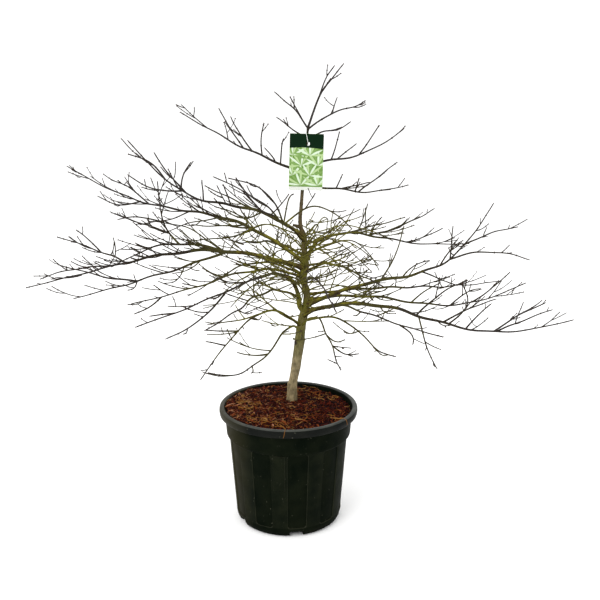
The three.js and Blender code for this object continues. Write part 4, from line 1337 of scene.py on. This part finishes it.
def build_twigs(limbs, twigs, finer):
    """Stems and shoots, sprays of side twigs, and buds, as three pieces."""
    random = seeded(BUD["seed"])
    stems, sprays, buds = Pile(), Pile(), Pile()
    for limb in limbs.values():
        start = max(limb.wood - STEM_LAP / limb.length, 0) if limb.wood > 0 else 0
        add_twig(stems, buds, limb, start, STEM_TUBE, random)
    for twig in twigs:
        add_twig(sprays, buds, twig, 0, TWIG_TUBE, random)
    for twig in finer:
        twig.girth = min(twig.girth, FINER["radius"])
        twig.tip = FINER["tip"]
        add_twig(sprays, buds, twig, 0, FINER_TUBE, random)
    barks = [plain_bark(name, color) for name, color in BARKS]
    bud = plain_bark("bud_scales", (0.05, 0.028, 0.022))
    return (stems.build("twig_stems", barks), sprays.build("twig_sprays", barks),
            buds.build("twig_buds", [bud]))


# ---------- pot ----------


def wall_radius(height):
    lowest = POT["foot_radius"] + POT["foot_round"]
    return lowest + (POT["wall_top_radius"] - lowest) * height / POT["shoulder_height"]


def rounded(corners):
    """A profile of (radius, height) points from corners with the radius of their rounding."""
    points = [np.array(corners[0][:2], float)]
    for before, corner, after in zip(corners, corners[1:], corners[2:]):
        here = np.array(corner[:2], float)
        back = np.array(before[:2], float) - here
        on = np.array(after[:2], float) - here
        cut = min(corner[2], 0.45 * np.linalg.norm(back), 0.45 * np.linalg.norm(on))
        first = here + back / np.linalg.norm(back) * cut
        last = here + on / np.linalg.norm(on) * cut
        for t in np.linspace(0, 1, 5 if cut > 0.3 else 1):
            points.append((1 - t)**2 * first + 2 * t * (1 - t) * here + t**2 * last)
    points.append(np.array(corners[-1][:2], float))
    return np.array(points)


def outer_profile():
    """The pot from the middle of its underside up the outside and over the rim."""
    rim_bottom = POT["height"] - POT["rim_height"]
    below_step = POT["shoulder_height"] - POT["shoulder_step"]
    return rounded([
        (0, 0, 0),
        (NOTCHES["inner_radius"] - 1, 0, 0),
        (NOTCHES["inner_radius"], 0, 0),
        (POT["foot_radius"], 0, 4),
        (wall_radius(POT["foot_rise"]), POT["foot_rise"], 8),
        (wall_radius(below_step), below_step, 2),
        (POT["shoulder_radius"], POT["shoulder_height"], 3),
        (POT["collar_radius"], rim_bottom, 2.5),
        (POT["rim_radius"] - 2, rim_bottom + 1, 2.5),
        (POT["rim_radius"], rim_bottom + POT["rim_height"] / 2, 5),
        (POT["rim_radius"] - 1, POT["height"] - 3, 3),
        (POT["rim_radius"] - 4, POT["height"], 3),
        (POT["mouth_radius"] + 3, POT["height"], 2.5),
        (POT["mouth_radius"], POT["height"] - 3, 2.5),
        (POT["shoulder_radius"] - POT["wall"], rim_bottom - 6, 4),
    ])


def inner_profile():
    """The inside of the pot from under its rim down to the middle of its floor."""
    wall = POT["wall"]
    below = POT["shoulder_height"] - 2 * POT["shoulder_step"]
    above = POT["shoulder_height"] + POT["shoulder_step"]
    return rounded([
        (POT["shoulder_radius"] - wall, POT["height"] - POT["rim_height"] - 12, 0),
        (POT["shoulder_radius"] - wall, above, 3),
        (wall_radius(below) - wall, below, 3),
        (wall_radius(POT["floor"]) - wall, POT["floor"], 5),
        (0, POT["floor"], 0),
    ])


def finer_profile(profile, step):
    """The same profile with long straight pieces cut into shorter ones."""
    points = [profile[0]]
    for before, after in zip(profile, profile[1:]):
        pieces = max(math.ceil(np.linalg.norm(after - before) / step), 1)
        points += [before + (after - before) * i / pieces for i in range(1, pieces + 1)]
    return np.array(points)


def add_rows(profile, heights):
    """Puts extra points into the outer wall's profile, so that raised edges are crisp."""
    points = list(profile)
    for height in heights:
        for i, (before, after) in enumerate(zip(points, points[1:])):
            if before[1] < height - 0.05 and after[1] > height + 0.05:
                share = (height - before[1]) / (after[1] - before[1])
                points.insert(i + 1, before + share * (after - before))
                break
    return np.array(points)


def pot_turns():
    """Angles from the pot's front, in degrees, with extra ones beside each raised edge."""
    pitch = 360 / PANELS["count"]
    half = (pitch - PANELS["strip"]) / 2
    edges = []
    for i in range(PANELS["count"]):
        middle = PANELS["first_strip"] + pitch * (i + 0.5)
        for inset in (0, *POT_MESH["panel_insets"]):
            edges += [middle - half + inset, middle + half - inset]
    holder_half = math.degrees(HOLDER["width"] / 2 / POT["wall_top_radius"])
    edges += [PANELS["first_strip"] - holder_half, PANELS["first_strip"] + holder_half]
    for i in range(NOTCHES["count"]):
        middle = NOTCHES["first"] + 360 / NOTCHES["count"] * i
        edges += [middle - NOTCHES["half_turn"], middle + NOTCHES["half_turn"]]
    angles = list(np.arange(0, 360, POT_MESH["turn_step"]))
    for edge in edges:
        angles += [(edge + off) % 360 for off in POT_MESH["turn_offsets"]]
    angles = sorted(angles)
    pairs = zip(angles, angles[1:] + [angles[0] + 360])
    return np.array([a for a, b in pairs if b - a > POT_MESH["least_turn"]])


def box_share(across, up, half_width, half_height, corner, soft):
    """1 inside a rectangle with rounded corners and 0 outside it, over a soft edge."""
    off_across = np.abs(across) - (half_width - corner)
    off_up = np.abs(up) - (half_height - corner)
    away = np.hypot(np.maximum(off_across, 0), np.maximum(off_up, 0))
    away = away + np.minimum(np.maximum(off_across, off_up), 0) - corner
    return 1 - smoothstep(away, -soft, soft)


def turn_from(angles, middle):
    return (angles - middle + 180) % 360 - 180


def shape_wall(height, angles):
    """How far each point of the outer wall stands out: sunk panels and the raised holder."""
    lift = np.zeros_like(height)
    pitch = 360 / PANELS["count"]
    middle_height = (PANELS["bottom"] + PANELS["top"]) / 2
    half_height = (PANELS["top"] - PANELS["bottom"]) / 2
    half_width = math.radians((pitch - PANELS["strip"]) / 2) * PANELS["middle_radius"]
    for i in range(PANELS["count"]):
        turn = np.radians(turn_from(angles, PANELS["first_strip"] + pitch * (i + 0.5)))
        lift -= PANELS["depth"] * box_share(turn * PANELS["middle_radius"],
                                            height - middle_height, half_width, half_height,
                                            PANELS["corner"], PANELS["soft"])
    across = np.radians(turn_from(angles, PANELS["first_strip"])) * POT["wall_top_radius"]
    middle_height = (HOLDER["bottom"] + HOLDER["top"]) / 2
    half_height = (HOLDER["top"] - HOLDER["bottom"]) / 2
    lift += HOLDER["thickness"] * box_share(across, height - middle_height,
                                            HOLDER["width"] / 2, half_height,
                                            HOLDER["corner"], HOLDER["soft"])
    return lift


def notch_share(angles):
    """1 inside the notches of the foot and 0 between them."""
    share = np.zeros_like(angles)
    for i in range(NOTCHES["count"]):
        turn = turn_from(angles, NOTCHES["first"] + 360 / NOTCHES["count"] * i)
        inside = 1 - smoothstep(np.abs(turn), NOTCHES["half_turn"] - NOTCHES["soft"],
                                NOTCHES["half_turn"] + NOTCHES["soft"])
        share = np.maximum(share, inside)
    return share


def build_pot():
    """The pot as one closed skin: sunk panels, a holder tab, foot notches and a rolled rim."""
    outer = finer_profile(outer_profile(), POT_MESH["outer_step"])
    heights = []
    for edge in (PANELS["bottom"], PANELS["top"] - 0.6, HOLDER["bottom"], HOLDER["top"]):
        heights += [edge + off for off in POT_MESH["row_offsets"]]
    outer = add_rows(outer, sorted(heights))
    profile = np.vstack([outer, finer_profile(inner_profile(), POT_MESH["inner_step"])])
    angles = pot_turns()
    radius = np.repeat(profile[:, 0][:, None], len(angles), 1)
    height = np.repeat(profile[:, 1][:, None], len(angles), 1)
    turn = np.repeat(angles[None], len(profile), 0)
    outside = (np.arange(len(profile)) < len(outer))[:, None]
    on_wall = outside & (height > POT["foot_rise"]) & (height < POT["shoulder_height"])
    radius = radius + np.where(on_wall, shape_wall(height, turn), 0)
    bend = NOTCHES["bends_below"]
    lifted = (radius > NOTCHES["inner_radius"] - 0.5) & (height < bend)
    top = NOTCHES["height"] + np.where(outside, 0, NOTCHES["inside"])
    raised = top + height * (bend - top) / bend
    height = np.where(lifted, height + notch_share(turn) * (raised - height), height)
    bearing = np.radians(turn - 90)
    points = np.stack([radius * np.cos(bearing), radius * np.sin(bearing), height], axis=2)
    rows, columns = len(profile), len(angles)
    first, last = points[1:-1].reshape(-1, 3), (rows - 2) * columns
    faces = [face[::-1] for face in grid_faces(rows - 2, columns)]
    faces += fan(0, columns, last, inward=True) + fan(last - columns, columns, last + 1)
    skin = np.vstack([first, [0, 0, 0], [0, 0, POT["floor"]]])
    lift = np.where(on_wall, shape_wall(height, turn), 0)[1:-1].ravel()
    pile = Pile()
    pile.add(skin, faces, [pot_paint(skin, face, lift) for face in faces])
    return pile.build("pot_shell", [pot_finish("pot_" + name, *tones)
                                    for name, tones in POT_TONES.items()])


def pot_paint(skin, face, lift):
    """The place of a face's tone: 0 wall, 1 edges of panels with a painted highlight, 2 rim, 3 its
    top with a painted highlight, 4 strips painted lighter as lit.
    """
    corners = [i for i in face if i < len(lift)]
    ring = np.hypot(skin[corners, 0], skin[corners, 1])
    on_rim = skin[corners, 2].min() > POT["height"] - POT["rim_height"] - 1
    # the rim's top band takes the lip tone, a painted highlight
    if on_rim and ring.min() > POT["mouth_radius"] - 0.2:
        return 3 if skin[corners, 2].min() > POT["height"] - POT["lip"] else 2
    # faces on the panels' sloped edges take a painted highlight tone
    if np.ptp(lift[corners]) > PANELS["edge"]:
        return 1
    # raised strips take a lighter tone as painted light
    raised = lift[corners].min() > -0.1 and skin[corners, 2].max() < PANELS["top"]
    return 4 if raised and skin[corners, 2].min() > PANELS["bottom"] else 0


# ---------- compost and mulch ----------


def soil_height(x, y):
    """The height of the lumpy compost at a place."""
    ring = np.hypot(x, y)
    rings = [0, SOIL["flat_radius"], SOIL["mid_radius"], SOIL["edge_radius"]]
    drops = [0, 0, SOIL["mid_drop"], SOIL["edge_drop"]]
    lump = sum(noise.noise(Vector((x / grain, y / grain, place))) * size
               for grain, place, size in SOIL_LUMPS)
    level = SOIL["top"] - float(np.interp(ring, rings, drops)) - SOIL_TILT * x
    return level + lump * (SOIL_EDGE["share"] if ring > SOIL_EDGE["ring"] else 1)


def build_soil():
    """The compost as one closed skin: its lumpy top, its side inside the pot and its base."""
    pile = Pile()
    columns, step = SOIL_MESH["columns"], SOIL_MESH["step"]
    rings = np.append(np.arange(step, SOIL["edge_radius"], step), SOIL["edge_radius"])
    turn = around(columns)
    top = [(r * math.cos(a), r * math.sin(a), soil_height(r * math.cos(a), r * math.sin(a)))
           for r in rings for a in turn]
    side = [(r, z) for r, z in inner_profile()[::-1] if z > SOIL_DEPTH and r > 1][::-1]
    side = [(r - SOIL_MESH["wall_gap"], z) for r, z in side if z < SOIL_MESH["wall_top"]]
    side.append((wall_radius(SOIL_DEPTH) - SOIL_MESH["foot_gap"], SOIL_DEPTH))
    wall = [(r * math.cos(a), r * math.sin(a), z) for r, z in side for a in turn]
    rows = len(rings) + len(side)
    faces = grid_faces(rows, columns)
    points = np.array(top + wall + [(0, 0, soil_height(0, 0)), (0, 0, SOIL_DEPTH)])
    middle, bottom, last = len(points) - 2, len(points) - 1, (rows - 1) * columns
    faces += fan(0, columns, middle) + fan(last, columns, bottom, inward=True)
    pile.add(points, faces)
    return pile.build("soil_bed", [earth_finish()])


def add_chip(pile, middle, heading, pitch, size, curve, paint, random):
    """One shred of bark: a bent sliver with ragged ends."""
    long, wide, thick = size
    ahead = np.array([math.cos(heading) * math.cos(pitch), math.sin(heading) * math.cos(pitch),
                      math.sin(pitch)])
    across = np.array([-math.sin(heading), math.cos(heading), random.uniform(*CHIP_RAGGED["lean"])])
    across /= np.linalg.norm(across)
    over = np.cross(ahead, across)
    points = []
    for place, share in CHIP_ROWS:
        bent = over * curve * long * (0.25 - place**2) + across * 0.5 * curve * long * place**2
        centre = middle + ahead * long * place + bent
        w = wide / 2 * share * random.uniform(*CHIP_RAGGED["wide"])
        t = thick / 2 * random.uniform(*CHIP_RAGGED["thick"])
        points += [centre + across * w, centre + over * t, centre - across * w, centre - over * t]
    faces = [(0, 3, 2, 1), (12, 13, 14, 15)]
    for ring in range(3):
        for i in range(4):
            after = (i + 1) % 4
            low = 4 * ring
            faces.append((low + i, low + after, low + 4 + after, low + 4 + i))
    pile.add(points, faces, paint)


def build_mulch():
    """Shredded bark laid over the compost in several plain colours."""
    random = np.random.default_rng(MULCH["seed"])
    pile = Pile()
    shares = np.cumsum([share for _, _, share in SHREDS])
    for index in range(MULCH["chips"]):
        ring = MULCH["radius"] * math.sqrt(random.uniform())
        angle = random.uniform(0, 2 * math.pi)
        x, y = ring * math.cos(angle), ring * math.sin(angle)
        room = math.sqrt(max(MULCH["reach"]**2 - ring**2, 0))
        long = min(random.triangular(*MULCH["long"]), MULCH["room"] * room)
        size = (long, random.triangular(*MULCH["wide"]), random.uniform(*MULCH["thick"]))
        lift = MULCH["depth"] * index / MULCH["chips"] * random.uniform(*MULCH["lift"])
        middle = np.array([x, y, soil_height(x, y) + lift - MULCH["sunk"]])
        pick = random.uniform() - x / MULCH["paler_left"]
        paint = int(np.searchsorted(shares / shares[-1], min(max(pick, 0), 1)))
        add_chip(pile, middle, random.uniform(0, 2 * math.pi),
                 random.normal(0, MULCH["pitch"]), size, random.normal(0, MULCH["curve"]), paint,
                 random)
    return pile.build("mulch_chips", [shred_finish(name, color) for name, color, _ in SHREDS],
                      smooth=False)


def curl_points(start, turn, length, random):
    """Points along a curly fibre that lies on the mulch, from its start and first heading."""
    points = [np.array(start, float)]
    bend = random.normal(0, CURL["bend"])
    for _ in range(CURL["points"] - 1):
        turn += bend + random.normal(0, CURL["waver"])
        step = np.array([math.cos(turn), math.sin(turn), random.normal(0, CURL["rise"])])
        points.append(points[-1] + step * length / CURL["points"])
    points = np.array(points)
    for point in points:
        ring = math.hypot(point[0], point[1])
        if ring > CURL["edge"]:
            point[:2] *= CURL["edge"] / ring
        floor = soil_height(point[0], point[1]) + CURL["above"]
        point[2] = min(max(point[2], floor), floor + CURL["highest"])
    return points


def add_fibre(pile, line, girth, ends, paint):
    """A fibre along its points, thinner at both ends."""
    radii = np.full(len(line), girth)
    radii[[0, -1]] *= ends
    pile.tube(line, radii, FIBRE_SIDES, FIBRE_REFERENCE, paint)


def build_fibres():
    """Loose fibres over the mulch, curly tufts of them, and two that cross the rim."""
    random = np.random.default_rng(MULCH["seed"] + 1)
    pile = Pile()
    for _ in range(LOOSE["count"]):
        ring = LOOSE["radius"] * math.sqrt(random.uniform())
        angle = random.uniform(0, 2 * math.pi)
        x, y = ring * math.cos(angle), ring * math.sin(angle)
        start = (x, y, soil_height(x, y) + random.uniform(*LOOSE["above"]))
        line = curl_points(start, random.uniform(0, 2 * math.pi),
                           random.triangular(*LOOSE["long"]), random)
        add_fibre(pile, line, random.uniform(*LOOSE["girth"]), LOOSE["ends"],
                  int(random.integers(0, len(FIBRES))))
    for tuft_x, tuft_y, count, spread in TUFTS:
        for _ in range(count):
            x = random.normal(tuft_x, spread)
            y = random.normal(tuft_y, spread * TUFT["flat"])
            start = (x, y, soil_height(x, y) + random.uniform(*TUFT["above"]))
            line = curl_points(start, random.uniform(0, 2 * math.pi),
                               random.uniform(*TUFT["long"]), random)
            add_fibre(pile, line, random.uniform(*TUFT["girth"]), TUFT["ends"],
                      2 * int(random.uniform() < TUFT["straw"]))
    for bearing, side, drop, radius in RIM_FIBRES:
        line = rim_fibre(bearing, side, drop)
        radii = [radius * 0.7] + [radius] * (len(line) - 2) + [radius * 0.5]
        pile.tube(line, radii, RIM_SIDES, RIM_REFERENCE)
    return pile.build("mulch_fibres", [shred_finish(name, color) for name, color in FIBRES])


def rim_fibre(turn, side, drop):
    """A fibre from the mulch over the rim's top and down its outside."""
    points = []
    for index, (radius, height, thirds) in enumerate(RIM_COURSE):
        bearing = math.radians(turn + side * index / len(RIM_COURSE) - 90)
        points.append((radius * math.cos(bearing), radius * math.sin(bearing),
                       height - thirds * drop / 3))
    return np.array(points)


# ---------- label ----------


def add_plate(pile, outline, back, front, paint, holes=()):
    """A flat plate in the label's own plane, from y = back to y = front."""
    loops = [outline, *holes]
    flat = [Vector((x, z, 0)) for loop in loops for x, z in loop]
    triangles = tessellate_polygon([[Vector((x, z, 0)) for x, z in loop] for loop in loops])
    count = len(flat)
    points = [(p.x, front, p.y) for p in flat] + [(p.x, back, p.y) for p in flat]
    faces = []
    for a, b, c in triangles:
        up = (flat[b] - flat[a]).cross(flat[c] - flat[a]).z > 0
        front_face = (a, b, c) if up else (a, c, b)
        faces += [front_face, tuple(i + count for i in front_face[::-1])]
    start = 0
    for loop in loops:
        area = sum(p[0] * q[1] - q[0] * p[1] for p, q in zip(loop, loop[1:] + loop[:1]))
        forward = (area > 0) == (loop is outline)
        for i in range(len(loop)):
            p, q = start + i, start + (i + 1) % len(loop)
            wall = (q, p, p + count, q + count) if forward else (p, q, q + count, p + count)
            faces.append(wall)
        start += len(loop)
    pile.add(points, faces, paint)


def rounded_box(left, right, bottom, top, corner):
    """The outline of a rectangle with rounded corners, anticlockwise."""
    steps = 6
    points = []
    for x, z, first in ((right - corner, bottom + corner, -90), (right - corner, top - corner, 0),
                        (left + corner, top - corner, 90), (left + corner, bottom + corner, 180)):
        for i in range(steps + 1):
            angle = math.radians(first + 90 * i / steps)
            points.append((x + corner * math.cos(angle), z + corner * math.sin(angle)))
    return points


def leaf_outline(x, z, angle, long, wide):
    """A slender pointed leaf from its foot at (x, z)."""
    points = []
    way = (math.cos(angle), math.sin(angle))
    steps = LEAF["steps"]
    for side in (1, -1):
        for i in range(steps + 1):
            t = i / steps if side > 0 else 1 - i / steps
            if side < 0 and i in (0, steps):
                continue
            out = side * wide / 2 * math.sin(math.pi * t) ** LEAF["point"]
            points.append((x + way[0] * long * t - way[1] * out,
                           z + way[1] * long * t + way[0] * out))
    return points[::-1]


def set_on_label(piece):
    """Puts a flat piece where the label hangs, with its slight tilt."""
    piece.data.transform(Matrix.Translation(Vector((LABEL["x"], LABEL["y"], LABEL["z"])) * MM)
                         @ Matrix.Rotation(math.radians(LABEL["tilt"]), 4, "Y"))
    return piece


def build_label():
    """A card with rounded corners and a slot, and a leafy print on its front."""
    half_width, half_height = LABEL["width"] / 2, LABEL["height"] / 2
    slot_middle = half_height - SLOT["from_top"]
    slot = rounded_box(SLOT["right"] - SLOT["width"] / 2, SLOT["right"] + SLOT["width"] / 2,
                       slot_middle - SLOT["height"] / 2, slot_middle + SLOT["height"] / 2,
                       SLOT["corner"])
    thick = LABEL["thickness"] / 2
    card = Pile()
    outline = rounded_box(-half_width, half_width, -half_height, half_height, LABEL["corner"])
    add_plate(card, outline, thick, -thick, 0, [slot])
    leaves = Pile()
    add_print(leaves, slot, half_width - PRINT["margin"], half_height - PRINT["margin"], -thick)
    inks = [print_finish(name, color) for name, color in INKS]
    card_piece = card.build("label_card", [print_finish("label_card", (0.12, 0.22, 0.05))], False)
    return set_on_label(card_piece), set_on_label(leaves.build("label_print", inks, False))


def add_print(pile, slot, half_width, half_height, face):
    """Leaf fans at a depth each, then over them a pale strip and a dark band with the slot."""
    ink, rows, columns, blades = (PRINT[key] for key in ("ink", "rows", "columns", "blades"))
    back = face + PRINT["sunk"]
    low, high = -half_height + PRINT["strip"], half_height - PRINT["band"] + PRINT["lap"]
    count = PRINT["band_steps"]
    edge = []
    for i in range(count + 1):
        x = -half_width + 2 * half_width * i / count
        wave = PRINT["band_wave"] * math.sin(2.6 * i / count + 0.5)
        edge.append((x, half_height - PRINT["band"] + wave))
    band = edge + [(half_width, half_height), (-half_width, half_height)]
    for row in range(rows):
        for column in range(columns):
            place = column + PRINT["foot_shifts"][row % 2]
            x = -half_width + 2 * half_width * place / columns
            z = low + (high - low) * (row + PRINT["foot_rise"]) / rows
            middle = 90 + PRINT["lean"] * math.sin(2.3 * column + 1.3 * row)
            for k in range(blades):
                angle = math.radians(middle + (k - blades // 2) * PRINT["spread"])
                uneven = PRINT["uneven"] * math.sin(3.7 * column + 1.9 * row + 2 * k)
                long = PRINT["blade"] * (1 + uneven)
                blade = leaf_outline(x, z, angle, long, PRINT["blade_width"])
                blade = [(min(max(px, -half_width), half_width), min(max(pz, low), high))
                         for px, pz in blade]
                order = (columns * row + column) * blades + k
                level = PRINT["lowest"] + order / (rows * columns * blades)
                add_plate(pile, blade, back, face - ink * level, 1 + (row + k + column) % 3)
    add_plate(pile, band, back, face - ink * PRINT["band_depth"], 0, [slot])
    strip = [(-half_width, -half_height), (half_width, -half_height),
             (half_width, low), (-half_width, low)]
    add_plate(pile, strip, back, face - ink * PRINT["strip_depth"], 4)


def build_strip():
    """A thin white strip looped round the leader, over the label's edge and through its slot."""
    leader = stem_point(TRUNK_ROWS, TIE["z"])
    count = STRIP["steps"]
    angle = around(count)
    ring = np.stack([leader[0] + TIE["across"] * np.sin(angle),
                     TIE["y"] - TIE["deep"] * np.cos(angle),
                     TIE["z"] - TIE["rise"] * np.sin(angle)], axis=1)
    outward = np.stack([np.sin(angle), -np.cos(angle), 0 * angle], axis=1)
    ahead = np.roll(ring, -1, 0) - np.roll(ring, 1, 0)
    ahead /= np.linalg.norm(ahead, axis=1, keepdims=True)
    flat = np.cross(ahead, outward)
    flat /= np.linalg.norm(flat, axis=1, keepdims=True)
    out = np.cross(flat, ahead)
    points = np.stack([ring + flat * a * STRIP["width"] / 2 + out * b * STRIP["thickness"] / 2
                       for a, b in STRIP_SECTION], axis=1)
    faces = []
    corners = len(STRIP_SECTION)
    for i in range(count):
        here, after = corners * i, corners * ((i + 1) % count)
        for k in range(corners):
            on = (k + 1) % corners
            faces.append((here + k, after + k, after + on, here + on))
    pile = Pile()
    pile.add(points.reshape(-1, 3), faces)
    return pile.build("label_strip", [print_finish("tie_plastic", (0.62, 0.66, 0.62))])


# ---------- stage ----------


def build_stage():
    """A white floor, an even white world and three softboxes."""
    bpy.ops.mesh.primitive_circle_add(vertices=FLOOR["corners"], radius=FLOOR["radius"],
                                      fill_type="NGON", location=(0, 0, -FLOOR["below"]))
    floor = bpy.context.object
    floor.name = "floor"
    floor.data.materials.append(floor_finish())
    world = bpy.data.worlds.new("studio")
    world.use_nodes = True
    backdrop = world.node_tree.nodes["Background"]
    backdrop.inputs[0].default_value = (1, 1, 1, 1)
    backdrop.inputs[1].default_value = LIGHT["world"]
    bpy.context.scene.world = world
    for name, place, size, power in LIGHT["softboxes"]:
        data = bpy.data.lights.new(name, "AREA")
        data.shape = "DISK"
        data.size = size
        data.energy = power
        lamp = bpy.data.objects.new(name, data)
        lamp.location = place
        aim = Vector(LIGHT["aim"]) - Vector(place)
        lamp.rotation_euler = aim.to_track_quat("-Z", "Y").to_euler()
        bpy.context.scene.collection.objects.link(lamp)


def set_view():
    """Plain colours, so that the white floor and backdrop stay white."""
    bpy.context.scene.view_settings.view_transform = "Standard"


def build_camera():
    """The photograph's own viewpoint and frame."""
    data = bpy.data.cameras.new("camera")
    data.sensor_width = SENSOR
    data.lens = CAMERA["focus"] * SENSOR / PICTURE_SIZE
    camera = bpy.data.objects.new("camera", data)
    camera.location = Vector((CAMERA["x"], CAMERA["y"], CAMERA["z"])) * MM
    camera.rotation_euler = (math.radians(90 - CAMERA["down"]), 0, 0)
    bpy.context.scene.collection.objects.link(camera)
    bpy.context.scene.camera = camera


# ---------- assembly ----------

limbs, twigs, finer_twigs = grow_tree()
boughs = ["bough_" + name for name, limb in limbs.items() if limb.wood > 0]
masses = ["twigs_" + row[0] for row in LIMBS]

finish_piece(build_pot(), ["pot"])
finish_piece(build_soil(), ["soil"])
finish_piece(build_mulch())
finish_piece(build_fibres())
finish_piece(build_trunk(limbs), ["trunk"])
finish_piece(build_boughs(limbs), boughs)
stem_piece, spray_piece, bud_piece = build_twigs(limbs, twigs, finer_twigs)
finish_piece(stem_piece, masses)
finish_piece(spray_piece)
finish_piece(bud_piece)
card_piece, print_piece = build_label()
finish_piece(card_piece, ["label"])
finish_piece(print_piece)
finish_piece(build_strip(), ["label_tie"])
build_stage()
build_camera()
set_view()
